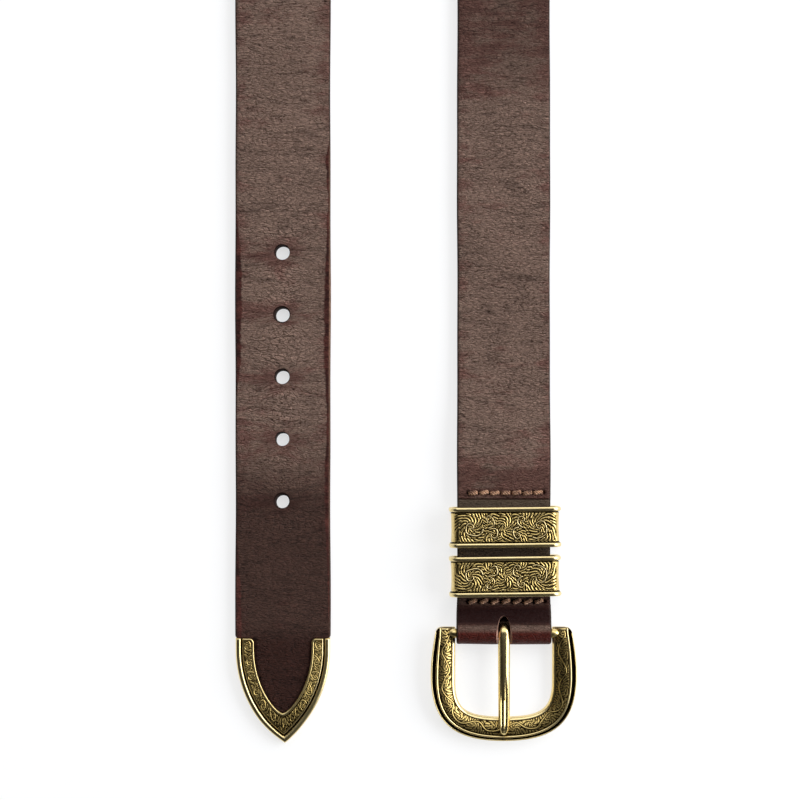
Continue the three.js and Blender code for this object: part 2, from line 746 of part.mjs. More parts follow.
const leather = new THREE.MeshStandardMaterial({ color: 0x55403a, roughness: 0.55, metalness: 0 });
const brass = new THREE.MeshStandardMaterial({ color: 0xb39350, roughness: 0.32, metalness: 1 });
const polished = new THREE.MeshStandardMaterial({ color: 0xc7a65c, roughness: 0.22, metalness: 1 });

const KEEPERS = [
  { name: 'keeper_upper', middleUp: 86.1, lean: 0.6 },
  { name: 'keeper_lower', middleUp: 66.5, lean: 0.7 },
];

const lying = new THREE.Group();
lying.position.y = -totalLength / 2;

lying.add(toMesh('strap', buildStrap(), leather));

const tip = toMesh('tip', buildTip(), brass);
tip.position.x = tipLegX;
lying.add(tip);

const onBarAxis = new THREE.Group();
onBarAxis.position.set(buckleLegX, BAR.up, BAR.height);
onBarAxis.rotation.x = restingTilt();
onBarAxis.add(toMesh('buckle_frame', buildBuckle(), brass));
onBarAxis.add(toMesh('prong', buildProng(), polished));
lying.add(onBarAxis);

for (const { name, middleUp, lean } of KEEPERS) {
  const keeper = toMesh(name, buildKeeper(), brass);
  keeper.position.set(buckleLegX + KEEPER.offMiddle, middleUp, 0);
  keeper.rotation.z = THREE.MathUtils.degToRad(lean);
  lying.add(keeper);
}

const belt = new THREE.Group();
belt.add(lying);
export default belt;
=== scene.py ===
import bmesh
import bpy
import numpy as np
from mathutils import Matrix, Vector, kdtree


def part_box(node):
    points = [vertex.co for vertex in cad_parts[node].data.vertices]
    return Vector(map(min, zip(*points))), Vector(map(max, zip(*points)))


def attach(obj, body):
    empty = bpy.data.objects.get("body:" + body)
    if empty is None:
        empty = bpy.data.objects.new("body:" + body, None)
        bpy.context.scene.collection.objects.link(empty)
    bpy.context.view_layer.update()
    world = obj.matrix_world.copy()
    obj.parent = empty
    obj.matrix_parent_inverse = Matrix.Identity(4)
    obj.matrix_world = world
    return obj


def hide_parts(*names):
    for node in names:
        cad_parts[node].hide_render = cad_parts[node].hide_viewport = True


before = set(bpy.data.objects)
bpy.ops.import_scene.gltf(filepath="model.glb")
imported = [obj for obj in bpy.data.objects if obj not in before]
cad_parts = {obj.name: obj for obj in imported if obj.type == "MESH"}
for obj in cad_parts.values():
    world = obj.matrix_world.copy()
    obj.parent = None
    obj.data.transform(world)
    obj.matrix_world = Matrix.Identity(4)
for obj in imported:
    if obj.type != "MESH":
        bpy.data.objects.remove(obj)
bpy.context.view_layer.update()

# Strap. One thick brown leather strap, 38 mm wide, with burnished oxblood edges. Its end is
# skived, folded round the buckle's bar and stitched down, and its far part stands on edge in
# a half turn. It is one swept skin, with five punched holes and the prong's slot cut out.
MM = 0.001
tip_low, tip_high = (np.array(corner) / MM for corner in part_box("tip"))
frame_low, frame_high = (np.array(corner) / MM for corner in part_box("buckle_frame"))
strap_high = np.array(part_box("strap")[1]) / MM
APEX_Y = tip_low[1]
TIP_X = (tip_low[0] + tip_high[0]) / 2
BUCKLE_X = (frame_low[0] + frame_high[0]) / 2
THICK = 3.8
CORNER_RISE = 0.046  # half of what a corner of the strap rises above its width in the twist
HALF = strap_high[2] / 2 - CORNER_RISE
BUCKLE_HALF = 18.6
TURN_RADIUS = (BUCKLE_X - TIP_X) / 2
TURN_UP = strap_high[1] - APEX_Y - TURN_RADIUS - THICK / 2
ON_EDGE = 10
TWIST_LONG = 160
TWIST_TOP = TURN_UP - ON_EDGE
TWIST_START = TWIST_TOP - TWIST_LONG
TIP_LEG_REACH = 300  # along the strap; the buckle's leg is all farther on
BAR_UP = 43.5
BAR_Z = 4.8
HOLE_UPS = 95.9 + 24.9 * np.arange(5)
HOLE_RADII = (2.75, 2.75, 2.85, 2.9, 2.9)
PUNCH = {"straight": 2.95, "flare": 0.75, "lean_x": 0.15, "lean_up": -0.21, "sides": 48}
EDGE_WEAR_AND_HIGHLIGHT = np.array((  # distance up, burnish of the right and the left edge, and a pale painted highlight on the right edge where the light catches it
    (40, 0.2, 0.9, 0.1),
    (60, 0.35, 0.8, 0.1),
    (80, 0.55, 0.3, 0.2),
    (95, 0.75, 0.2, 0.35),
    (112, 0.8, 0.1, 0.4),
    (122, 0.5, 0.05, 0.4),
    (130, 0.45, 0.0, 0.4),
    (145, 0.8, 0.4, 0.7),
    (153, 0.9, 0.8, 0.85),
    (177, 1.0, 1.0, 1.0),
    (190, 0.8, 1.0, 0.8),
    (203, 0.5, 0.45, 0.4),
    (217, 0.3, 0.0, 0.4),
    (232, 0.7, 0.0, 0.45),
    (244, 0.0, 0.0, 0.0),
))
STITCH_ROWS = (
    {"name": "thread_upper", "up": 99.7, "pitch": 4.33, "slant": 8},
    {"name": "thread_lower", "up": 56.3, "pitch": 4.4, "slant": 24},
)
STITCHES = 7
STITCH_X = BUCKLE_X + 0.75
SEWING = {"channel": 0.22, "channel_width": 1.0, "needle": 0.95, "needle_width": 0.62}
TONGUE = {"inset": 1.5, "low": 1.0, "high": 3.0, "shoulder": 41.7}
OGIVE_UP = 36.7
OGIVE_HALF = (tip_high[0] - tip_low[0]) / 2
OGIVE_RADIUS = (OGIVE_UP**2 + OGIVE_HALF**2) / (2 * OGIVE_HALF)
OGIVE_OFFSET = OGIVE_RADIUS - OGIVE_HALF
CLIMB = (  # distance up the strap, height of the grain side, height of the flesh side
    (160, 3.8, 0),
    (138, 4.4, 0.6),
    (124, 5.6, 1.9),
    (113, 6.15, 2.7),
    (106, 6.25, 3.7),
    (97.5, 6.25, 3.7),
    (96.7, 5.9, 3.7),
    (55, 5.9, 3.7),
)
CREASE_UP = 97.1  # where the skived bed of the keepers begins
FOLD_RADIUS = 3.3
FOLD_THICK = 2.2
FOLD_FROM = {"degrees": 62, "away": (0.883, -0.469)}  # on the ring round the bar, and the way off it
FOLD_TO = {"degrees": 280, "away": (0.985, 0.174)}
FOLD_PULL = 4
LEAF = {"from": 58, "skived_from": 95, "to": 103.7, "middle": 2.45, "rise": 0.35}
SLOT_IN_LEAF = (2.5, 2.6, 47.45)  # half width, rise of the round end, distance up of its top
SLOT_IN_GRAIN = (2.45, 5.2, 50.4)
SLOT_CLEAR = (3.8, 3.8, 51.6)
SLOT_CHAMFER = ((0, -0.34), (0.04, -0.16), (0.16, 0.03), (0.6, 0.6))  # outwards, above the leather
SLOT_FOOT = 36.0


def smooth(t):
    t = np.clip(t, 0, 1)
    return t * t * (3 - 2 * t)


def softened(values, count):
    """Running mean in a soft window of so many values. Each end goes on level."""
    window = np.hanning(count)
    return np.convolve(np.pad(values, count // 2, "edge"), window / window.sum(), "valid")


def distances(points):
    """How far along their line each point lies."""
    return np.r_[0, np.cumsum(np.linalg.norm(np.diff(points, axis=0), axis=1))]


def ogive_half(up, inset):
    """Half width of the belt's pointed end, so far inside its outline."""
    rise = np.clip(OGIVE_UP - up, 0, None)
    return np.sqrt(np.clip((OGIVE_RADIUS - inset) ** 2 - rise**2, 0, None)) - OGIVE_OFFSET


def ogive_apex(inset):
    """Distance up of the point, so far inside the outline."""
    return OGIVE_UP - np.sqrt((OGIVE_RADIUS - inset) ** 2 - OGIVE_OFFSET**2)


def stretch(x, up, z, forward, normal, half, thick):
    """Stations of the strap, one row each: centre, forward, normal, half width, thickness."""
    count = len(up)
    rows = np.zeros((count, 11))
    rows[:, 0], rows[:, 1], rows[:, 2] = x, up, z
    rows[:, 3:6], rows[:, 6:9] = forward, normal
    rows[:, 9], rows[:, 10] = half, thick
    return rows


def flat_stretch(x, up, low, high, half, way):
    return stretch(x, up, (low + high) / 2, (0, way, 0), (0, 0, 1), half, high - low)


def free_stretch(x, up, heading, turn, half):
    """Turned by "turn" from lying to standing, with the lower edge on the floor."""
    forward = np.stack([np.sin(heading), np.cos(heading), 0 * heading], 1)
    outward = np.stack([-np.cos(heading), np.sin(heading), 0 * heading], 1)
    normal = outward * np.sin(turn)[:, None]
    normal[:, 2] = np.cos(turn)
    z = half * np.sin(turn) + THICK / 2 * np.cos(turn)
    return stretch(x, up, z, forward, normal, half, THICK)


def line_stretch(points, thick, half):
    """Along a line of (up, z) points through the middle of the leather."""
    forward = np.gradient(points, axis=0)
    forward /= np.linalg.norm(forward, axis=1)[:, None]
    normal = np.stack([0 * thick, forward[:, 1], -forward[:, 0]], 1)
    along = np.stack([0 * thick, forward[:, 0], forward[:, 1]], 1)
    return stretch(BUCKLE_X, points[:, 0], points[:, 1], along, normal, half, thick)


def bezier(a, b, c, d, count):
    t = np.linspace(0, 1, count)[:, None]
    a, b, c, d = (np.array(p, float) for p in (a, b, c, d))
    return a * (1 - t) ** 3 + 3 * b * t * (1 - t) ** 2 + 3 * c * t * t * (1 - t) + d * t**3


def on_bar(degrees):
    angle = np.radians(degrees)
    return np.stack([BAR_UP + FOLD_RADIUS * np.cos(angle), BAR_Z + FOLD_RADIUS * np.sin(angle)], -1)


def fold_flare(up):
    """The folded end is pressed a little wider than the strap."""
    return BUCKLE_HALF + 0.35 * smooth((60 - up) / 10)


def tip_leg():
    """The thin tongue inside the tip, then the flat leg with the holes."""
    inset, shoulder = TONGUE["inset"], TONGUE["shoulder"]
    blunt = ogive_apex(inset) + 0.25
    ups = np.concatenate([[blunt, blunt + 0.3], np.arange(blunt + 0.8, shoulder - 0.2, 1)])
    tongue = flat_stretch(TIP_X, ups, TONGUE["low"], TONGUE["high"], ogive_half(ups, inset), 1)
    ups = np.concatenate([[shoulder, shoulder + 0.3], np.arange(42.6, TWIST_START, 1.15)])
    half = HALF + 0.10 * np.sin(ups / 23) + 0.06 * np.sin(ups / 9.1 + 1)
    half[:2] = HALF - 0.35, HALF - 0.05
    return [tongue, flat_stretch(TIP_X, ups, 0.0, THICK, half, 1)]


def standing_turn():
    """A quarter twist up on edge, half a turn, and a quarter twist down again."""
    t = np.linspace(0, 1, 64)[1:]
    rise = free_stretch(TIP_X, TWIST_START + TWIST_LONG * t, 0 * t, np.pi / 2 * smooth(t), HALF)
    heading = np.linspace(0, np.pi, 44)
    turn_x = (TIP_X + BUCKLE_X) / 2 - TURN_RADIUS * np.cos(heading)
    turn_up = TURN_UP + TURN_RADIUS * np.sin(heading)
    turn = free_stretch(turn_x, turn_up, heading, np.pi / 2 + 0 * heading, HALF)
    t = np.linspace(0, 1, 64)[:-1]
    half = HALF + (BUCKLE_HALF - HALF) * t
    twist = np.pi / 2 * (1 - smooth(t))
    fall = free_stretch(BUCKLE_X, TWIST_TOP - TWIST_LONG * t, np.pi + 0 * t, twist, half)
    return [rise, turn, fall]


def buckle_leg():
    """Flat on the floor, then up over the folded leaf."""
    ups = np.concatenate([
        np.arange(TWIST_START, 161, -1.15),
        np.arange(160, 106, -0.8),
        np.arange(106, 95, -0.22),
        np.arange(95, 58.6, -0.9),
        np.arange(58.6, 54.9, -0.2),
    ])
    climb = np.array(CLIMB)[::-1]
    grain, flesh = (np.interp(ups, climb[:, 0], climb[:, i]) for i in (1, 2))
    grain, flesh = (np.where(ups > 104, softened(height, 21), height) for height in (grain, flesh))
    half = fold_flare(ups) + 0.10 * np.sin(ups / 19 + 2) + 0.05 * np.sin(ups / 8)
    return [flat_stretch(BUCKLE_X, ups, flesh, grain, half, -1)]


def fold_round_bar():
    """Over the bar, round it, and back under the strap to the skived end of the leaf."""
    meets, leaves = on_bar(FOLD_FROM["degrees"]), on_bar(FOLD_TO["degrees"])
    pull = [FOLD_PULL * np.array(place["away"]) for place in (FOLD_FROM, FOLD_TO)]
    front = bezier((54.9, 4.8), (51, 4.8), meets + pull[0], meets, 34)
    ring = on_bar(np.linspace(FOLD_FROM["degrees"], FOLD_TO["degrees"], 46)[1:-1])
    leaf = bezier(leaves, leaves + pull[1], (51, LEAF["middle"]), (55, LEAF["middle"]), 14)
    back_ups = np.arange(LEAF["from"], LEAF["to"], 3.0)
    skiving = smooth((back_ups - LEAF["skived_from"]) / 8)
    back = np.stack([back_ups, LEAF["middle"] + LEAF["rise"] * skiving], 1)
    line = np.concatenate([front, ring, leaf, back])
    thick = np.full(len(line), FOLD_THICK)
    thick[-len(back):] -= skiving
    return [line_stretch(line, thick, fold_flare(line[:, 0]))]


def ring_plan():
    """One row per point of a section: parts of the half width and of half the thickness, and
    the two parts of the edge's rounding that go across and outwards."""

    def edge(side, upper, first):
        angles = np.radians(first + np.array([18, 36, 54, 72, 90]))
        return [(side, upper, np.cos(angle), np.sin(angle)) for angle in angles]

    grain = [(part, 1, 0, 1) for part in np.linspace(1, -1, 73)]
    flesh = [(part, -1, 0, -1) for part in np.linspace(-1, 1, 13)]
    left = edge(-1, 1, 90) + edge(-1, -1, 180)
    right = edge(1, -1, 270) + edge(1, 1, 0)
    return np.array((grain + left + flesh + right)[:-1])


def sewing_dent(x, up):
    """Depth of the sewn rows: a shallow channel with a needle hole at each end of a stitch."""
    depth = 0 * x
    for row in STITCH_ROWS:
        off = x - STITCH_X
        inside = smooth((STITCHES * row["pitch"] / 2 + 1.2 - np.abs(off)) / 1.2)
        channel = inside * np.exp(-(((up - row["up"]) / SEWING["channel_width"]) ** 2))
        nearest = np.round(off / row["pitch"] - 0.5) + 0.5
        nearest = np.clip(nearest, -STITCHES / 2, STITCHES / 2)
        gap = np.hypot(off - nearest * row["pitch"], (up - row["up"]) * 0.8)
        needle = np.exp(-((gap / SEWING["needle_width"]) ** 2))
        depth = depth + SEWING["channel"] * channel + SEWING["needle"] * needle
    return depth


def tube_faces(rows, columns):
    """Quads of a closed tube of rings, and the two end caps."""
    ring = np.arange(columns)
    after = np.roll(ring, -1)
    start = np.arange(rows - 1)[:, None] * columns
    quads = np.stack([start + ring, start + after, start + after + columns, start + ring + columns], -1)
    last = (rows - 1) * columns
    return quads.reshape(-1, 4).tolist() + [ring[::-1].tolist(), (last + ring).tolist()]


def joined(parts):
    """The points and the faces of several meshes as one."""
    points, faces, start = [], [], 0
    for part_points, part_faces in parts:
        points.append(part_points.reshape(-1, 3))
        faces += [[start + i for i in face] for face in part_faces]
        start += len(points[-1])
    return np.concatenate(points), faces


def write_field(mesh, field, values):
    values = np.asarray(values, np.float32)
    vector = values.ndim > 1 and values.shape[-1] == 3
    kind, key = ("FLOAT_VECTOR", "vector") if vector else ("FLOAT", "value")
    mesh.attributes.new(field, kind, "POINT").data.foreach_set(key, values.ravel())


def make_piece(name, points, faces, materials, fields=None):
    """A smooth mesh from points in millimetres, with one float or vector field per point each."""
    mesh = bpy.data.meshes.new(name)
    mesh.from_pydata((np.asarray(points).reshape(-1, 3) * MM).tolist(), [], faces)
    for material in materials:
        mesh.materials.append(material)
    for field, values in (fields or {}).items():
        write_field(mesh, field, values)
    tidy = bmesh.new()
    tidy.from_mesh(mesh)
    bmesh.ops.recalc_face_normals(tidy, faces=tidy.faces)
    tidy.to_mesh(mesh)
    tidy.free()
    mesh.shade_smooth()
    piece = bpy.data.objects.new(name, mesh)
    bpy.context.scene.collection.objects.link(piece)
    return piece


class Wire:
    """A shader output that takes part in sums like a number."""

    def __init__(self, paint, socket):
        self.paint, self.socket = paint, socket

    def _math(self, operation, first, second):
        return self.paint.node("Math", {"operation": operation}, {0: first, 1: second})

    def __add__(self, other):
        return self._math("ADD", self, other)

    def __sub__(self, other):
        return self._math("SUBTRACT", self, other)

    def __rsub__(self, other):
        return self._math("SUBTRACT", other, self)

    def __mul__(self, other):
        return self._math("MULTIPLY", self, other)

    __radd__, __rmul__ = __add__, __mul__


class Paint:
    """The nodes of a material or of the sky, ending in one shader."""

    def __init__(self, owner, shader="Principled BSDF"):
        owner.use_nodes = True
        self.owner, self.tree = owner, owner.node_tree
        self.shader = self.tree.nodes[shader]

    def node(self, kind, settings, inputs, output=0):
        node = self.tree.nodes.new("ShaderNode" + kind)
        for key, value in settings.items():
            setattr(node, key, value)
        for key, value in inputs.items():
            self.join(value, node.inputs[key])
        return Wire(self, node.outputs[output])

    def join(self, value, socket):
        if isinstance(value, Wire):
            self.tree.links.new(value.socket, socket)
        else:
            socket.default_value = value

    def field(self, name, output="Fac"):
        return self.node("Attribute", {"attribute_name": name}, {}, output)

    def stretched(self, vector, scale):
        return self.node("VectorMath", {"operation": "MULTIPLY"}, {0: vector, 1: scale})

    def noise(self, vector, scale, detail=2.0, roughness=0.5, distortion=0.0):
        inputs = {"Scale": scale, "Detail": detail, "Roughness": roughness, "Distortion": distortion}
        return self.node("TexNoise", {}, {"Vector": vector, **inputs})

    def step(self, value, low, high):
        """0 below low, 1 above high, smooth between them."""
        ends = {"Value": value, "From Min": low, "From Max": high}
        return self.node("MapRange", {"interpolation_type": "SMOOTHSTEP"}, ends)

    def ramp(self, value, low, high, first, last):
        """Straight from first, at low, to last, at high."""
        ends = {"Value": value, "From Min": low, "From Max": high, "To Min": first, "To Max": last}
        return self.node("MapRange", {}, ends)

    def part_along(self, vector, axis):
        return self.node("VectorMath", {"operation": "DOT_PRODUCT"}, {0: vector, 1: axis}, 1)

    def distance(self, vector, place):
        return self.node("VectorMath", {"operation": "DISTANCE"}, {0: vector, 1: place}, 1)

    def mix(self, first, second, share):
        return self.node("Mix", {"data_type": "RGBA"}, {0: share, 6: first, 7: second}, 2)

    def bump(self, height, distance, strength=1.0):
        return self.node("Bump", {}, {"Height": height, "Distance": distance, "Strength": strength})

    def finish(self, **sockets):
        for key, value in sockets.items():
            self.join(value, self.shader.inputs[key.replace("_", " ")])
        return self.owner


LEATHER_COLOURS = {  # in the low and in the high places of the grain; the darker colours for the shaded places, the keeper bed and the fold's underside are painted shade, the last on the leather's red
    "waxed": ((0.030, 0.014, 0.010, 1), (0.408, 0.268, 0.211, 1)),
    "rubbed": ((0.036, 0.011, 0.009, 1), (0.305, 0.156, 0.126, 1)),
    "shaded": ((0.007, 0.0020, 0.0016, 1), (0.066, 0.0255, 0.0190, 1)),
    "shaded_grey": ((0.020, 0.012, 0.006, 1), (0.175, 0.130, 0.092, 1)),
    "shaded_red": ((0.045, 0.0062, 0.0040, 1), (0.105, 0.0145, 0.0085, 1)),
    "burnished": ((0.050, 0.014, 0.012, 1), (0.175, 0.056, 0.044, 1)),
    "suede": ((0.16, 0.10, 0.07, 1), (0.27, 0.18, 0.13, 1)),
}
# Near black, for the deepest painted shade below the lower keeper and in the needle holes.
DEEPEST_SHADE = (0.018, 0.0030, 0.0024, 1)
EDGE_LINE = (0.030, 0.019, 0.014, 1)
# A pale painted highlight, where the light catches the strap's right edge.
EDGE_HIGHLIGHT = (0.40, 0.23, 0.15, 1)
CUT_WALLS = {  # colours of the low and of the high fibres, and of the rim; the near-black ones are painted shade inside the holes and deep in the slot
    "shaded_hole_wall": ((0.004, 0.0025, 0.002, 1), (0.022, 0.010, 0.008, 1), (0.022, 0.010, 0.008, 1)),
    "shaded_slot_wall": ((0.010, 0.004, 0.003, 1), (0.034, 0.013, 0.010, 1), (0.46, 0.26, 0.20, 1)),
}


def leather_paint():
    """Waxed full-grain leather: grey brown, with fine creases across the strap, and redder where it is rubbed
    or burnished, and on the bent fold, whose underside is darkened with painted shade. Painted shade also
    darkens it in places and greys it by the keepers; painted highlights lighten the fold's crest and the lit
    right edge."""
    paint = Paint(bpy.data.materials.new("waxed_leather"))

    def shade(finish, height):
        return paint.mix(*LEATHER_COLOURS[finish], height)

    place = paint.field("place", "Vector")
    edge, burnish, flesh = (paint.field(name) for name in ("edge", "burnish", "flesh"))
    wear, fold, painted_shade = (paint.field(name) for name in ("wear", "fold", "painted_shade"))
    rim, sleek, keeper_shade = (paint.field(name) for name in ("rim", "sleek", "keeper_shade"))
    wave = paint.noise(paint.stretched(place, (0.026, 0.15, 0.3)), 1.0, 5, 0.62, 1.0)
    crease = paint.step(paint.node("Math", {"operation": "ABSOLUTE"}, {0: wave - 0.5}), 0.0, 0.020)
    sway = paint.node("TexNoise", {}, {"Vector": place, "Scale": 0.35, "Detail": 2}, 1)
    swayed = paint.node("VectorMath", {"operation": "MULTIPLY_ADD"}, {0: sway, 1: (3.0, 2.4, 0), 2: place})
    cells = {"Vector": paint.stretched(swayed, (0.40, 1.15, 0.5)), "Scale": 1.0}
    net = paint.step(paint.node("TexVoronoi", {"feature": "DISTANCE_TO_EDGE"}, cells), 0.0, 0.17)
    wrinkle = paint.noise(paint.stretched(place, (0.40, 2.3, 1.0)), 1.0, 2, 0.5, 0.6)
    pores = paint.noise(paint.stretched(place, (0.74, 2.9, 1.0)), 1.05, 1.5, 0.6, 0.4)
    patches = paint.noise(place, 0.055, 3, 0.55)
    clouds = paint.noise(paint.stretched(place, (0.35, 1.0, 1.0)), 0.22, 4, 0.65)
    grain = paint.step(wrinkle, 0.40, 0.56) * 0.24 + paint.step(pores, 0.42, 0.56) * 0.30
    relief = crease * 0.34 + net * 0.32 + grain - 0.10
    smoothed = relief * (1.0 - painted_shade * 0.40 - sleek * 0.35) + painted_shade * 0.22 + sleek * 0.17
    deep = smoothed * 0.88 + paint.step(patches, 0.30, 0.70) * 0.12
    red = paint.step(wear * 0.34 + clouds * 1.1 + patches * 0.5, 0.86, 1.16)
    colour = paint.mix(shade("waxed", deep), shade("rubbed", deep), red)
    # Painted shade: darker in the shaded stretches of the strap.
    colour = paint.mix(colour, shade("shaded", relief), painted_shade)
    # Painted shade, greyer, under and between the keepers.
    colour = paint.mix(colour, shade("shaded_grey", deep), keeper_shade)
    # Near-black painted shade below the lower keeper and in the needle holes.
    colour = paint.mix(colour, DEEPEST_SHADE, painted_shade - 1.0)
    # Painted shade on the fold's underside, in the leather's dark red.
    colour = paint.mix(colour, shade("shaded_red", relief), fold)
    burnished = shade("burnished", paint.step(clouds, 0.35, 0.7))
    colour = paint.mix(colour, burnished, paint.step(burnish + (clouds - 0.5) * 1.3, 0.30, 0.80))
    colour = paint.mix(colour, EDGE_LINE, edge * 0.9)
    # Pale painted highlight where the light catches the right edge.
    colour = paint.mix(colour, EDGE_HIGHLIGHT, rim)
    colour = paint.mix(colour, shade("suede", wrinkle), flesh)
    rough = 0.66 - deep * 0.08 - painted_shade * 0.10 - fold * 0.18 + flesh * 0.3
    bump = paint.bump(smoothed, 0.0010, 1.0)
    return paint.finish(Base_Color=colour, Roughness=rough, Normal=bump, Specular_IOR_Level=0.15)


def cut_leather_paint(name, low, high, rim):
    """The wall of a punched hole or slot: bare fibres, painted near black as the shade inside it, and the
    colour of its rim.
    """
    paint = Paint(bpy.data.materials.new(name))
    place = paint.field("place", "Vector")
    fibres = paint.noise(paint.stretched(place, (1.0, 1.0, 3.0)), 1.6, 4, 0.7)
    level = paint.part_along(place, (0, 0, 1))
    colour = paint.mix(paint.mix(low, high, fibres), rim, paint.step(level + fibres * 0.3, 0.72, 1.05))
    bump = paint.bump(fibres, 0.0002)
    return paint.finish(Base_Color=colour, Roughness=0.75, Normal=bump, Specular_IOR_Level=0.12)


def hole_cutter(up, radius):
    """A punch with a flared mouth, so that the rim comes out rounded. It leans a little."""
    flare, straight = PUNCH["flare"], PUNCH["straight"]
    angles = np.radians(np.linspace(0, 84, 7))
    mouth = [(radius + flare * (1 - np.cos(a)), straight + flare * np.sin(a)) for a in angles]
    profile = np.array([(radius, -1.0), *mouth, (radius + 0.9, 6.0)])
    radii, heights = profile[:, :1], profile[:, 1:]
    lean = np.clip(THICK - heights, 0, THICK) - 2.2
    turn = np.linspace(0, 2 * np.pi, PUNCH["sides"] + 1)[:-1]
    points = np.stack([
        TIP_X + radii * np.cos(turn) + PUNCH["lean_x"] * lean,
        up + APEX_Y + radii * np.sin(turn) + PUNCH["lean_up"] * lean,
        np.repeat(heights, len(turn), 1),
    ], -1)
    return points, tube_faces(*points.shape[:2])


def slot_cutter(surface):
    """The prong's slot: an oblong with a round end and a chamfered rim that follows the fold,
    tighter in the layer below."""
    turn = np.radians(np.linspace(0, 180, 33))

    def ring(plan, height, on_surface=False):
        half, rise, top = plan
        x = np.r_[half * np.cos(turn), -half, half]
        up = np.r_[top - rise + rise * np.sin(turn), SLOT_FOOT, SLOT_FOOT]
        z = height + (np.interp(up, *surface) if on_surface else 0 * up)
        return np.column_stack([BUCKLE_X + x, up + APEX_Y, z])

    rings = [ring(SLOT_IN_LEAF, -2), ring(SLOT_IN_LEAF, 3.2), ring(SLOT_IN_GRAIN, 3.3)]
    rings += [ring(np.array(SLOT_IN_GRAIN) + out, height, True) for out, height in SLOT_CHAMFER]
    rings = np.array(rings + [ring(SLOT_CLEAR, 14)])
    return rings, tube_faces(*rings.shape[:2])


def cut(piece, cutters, material):
    """Takes the cutters out of the piece, exactly, and gives the new walls the material."""
    tool = make_piece("cutter", *joined(cutters), [material])
    bool_cut = piece.modifiers.new("cut", "BOOLEAN")
    bool_cut.object, bool_cut.operation, bool_cut.solver = tool, "DIFFERENCE", "EXACT"
    bool_cut.material_mode = "TRANSFER"
    bpy.context.view_layer.update()
    result = bpy.data.meshes.new_from_object(piece.evaluated_get(bpy.context.evaluated_depsgraph_get()))
    piece.modifiers.clear()
    piece.data = result
    bpy.data.objects.remove(tool)


def carry_fields(piece, old_points, fields, axes):
    """Gives each point of a cut piece the fields of the nearest old point. The field "place"
    also moves on by the gap between the two, along the strap's own axes there."""
    tree = kdtree.KDTree(len(old_points))
    for index, point in enumerate(old_points):
        tree.insert(point, index)
    tree.balance()
    found = np.zeros(len(piece.data.vertices) * 3)
    piece.data.vertices.foreach_get("co", found)
    found = found.reshape(-1, 3) / MM
    near = np.array([tree.find(point)[1] for point in found])
    gap = found - old_points[near]
    for field, values in fields.items():
        values = values.reshape(len(old_points), -1)[near]
        if field == "place":
            values = values + np.stack([(gap * axis.reshape(-1, 3)[near]).sum(1) for axis in axes], 1)
        write_field(piece.data, field, values.squeeze())


def mark_sharp(mesh, degrees):
    """Edges sharper than this stay crisp, and the rest is shaded smooth."""
    mesh.shade_smooth()
    mesh.set_sharp_from_angle(angle=np.radians(degrees))


# The skin of the strap, ring by ring from the tongue to the end of the leaf.
stations = np.concatenate(tip_leg() + standing_turn() + buckle_leg() + fold_round_bar())
plan = ring_plan()
on_grain = plan[:, 1] > 0
half, thick = stations[:, 9:10], stations[:, 10:11]
rounding = np.minimum(1.15, np.minimum(0.42 * thick, 0.45 * half))
rounding = np.where(on_grain, rounding, 0.62 * rounding)
across_mm = plan[:, 0] * (half - rounding) + rounding * plan[:, 2]
out_mm = plan[:, 1] * (thick / 2 - rounding) + rounding * plan[:, 3]
centres, forwards, normals = (stations[:, None, first:first + 3] for first in (0, 3, 6))
acrosses = np.cross(forwards, normals)
skin = centres + acrosses * across_mm[..., None] + normals * out_mm[..., None]
x, up = skin[..., 0], skin[..., 1]
along_mm = np.broadcast_to(distances(stations[:, 0:3])[:, None], x.shape)
by_tip = (x < 0) & (along_mm < TIP_LEG_REACH)
by_buckle = (x > 0) & (along_mm > TIP_LEG_REACH)
on_tip_leg = by_tip & (up < TWIST_START)
on_buckle_leg = (x > 0) & (up < 110) & (stations[:, None, 2] > 4) & on_grain
over_fold = (x > 0) & (up < 56) & (stations[:, None, 2] < 9)

# Low relief of the grain side, in millimetres: swelling, dishes round the holes, the sewn rows,
# a soft rim round the slot, the crease above the keepers and the crown in the tip's arch.
from_edge = half - np.abs(across_mm)
grain_weight = np.where(on_grain, smooth(from_edge / 2.0), 0)
swell = 0.10 * np.sin(along_mm / 11 + across_mm / 14) + 0.07 * np.sin(along_mm / 5.3 - across_mm / 6 + 1.7)
lift = grain_weight * swell * smooth(np.minimum(along_mm - 60, 40) / 20)
hole_gap = np.min([np.hypot(x - TIP_X, up - hole) for hole in HOLE_UPS], axis=0)
hole_gap = np.where(on_tip_leg, hole_gap, 99)
lift -= grain_weight * 0.30 * np.exp(-(((hole_gap - 2.2) / 2.2) ** 2))
sewn = np.where(on_buckle_leg, sewing_dent(x, up), 0)
lift -= sewn
slot_gap = np.hypot(x - BUCKLE_X, np.clip(up - 48, 0, None)) - 2.5
on_fold = (x > 0) & (along_mm > along_mm.max() - 90) & on_grain
lift -= np.where(on_fold, 0.06 * np.exp(-((np.clip(slot_gap, 0, None) / 0.9) ** 2)), 0)
crease = np.where(on_buckle_leg, np.exp(-(((up - CREASE_UP) / 0.32) ** 2)), 0)
lift -= 0.45 * crease * grain_weight
arch_room = ogive_half(np.clip(up, 0, None), 7.4) - np.abs(x - TIP_X)
crown = smooth(arch_room / 1.3) * (0.45 + 0.35 * smooth((up - 30) / 11))
lift += np.where((x < 0) & (up < TONGUE["shoulder"] - 0.1) & on_grain, crown, 0)
skin = skin + normals * lift[..., None]
skin[..., 1] += APEX_Y

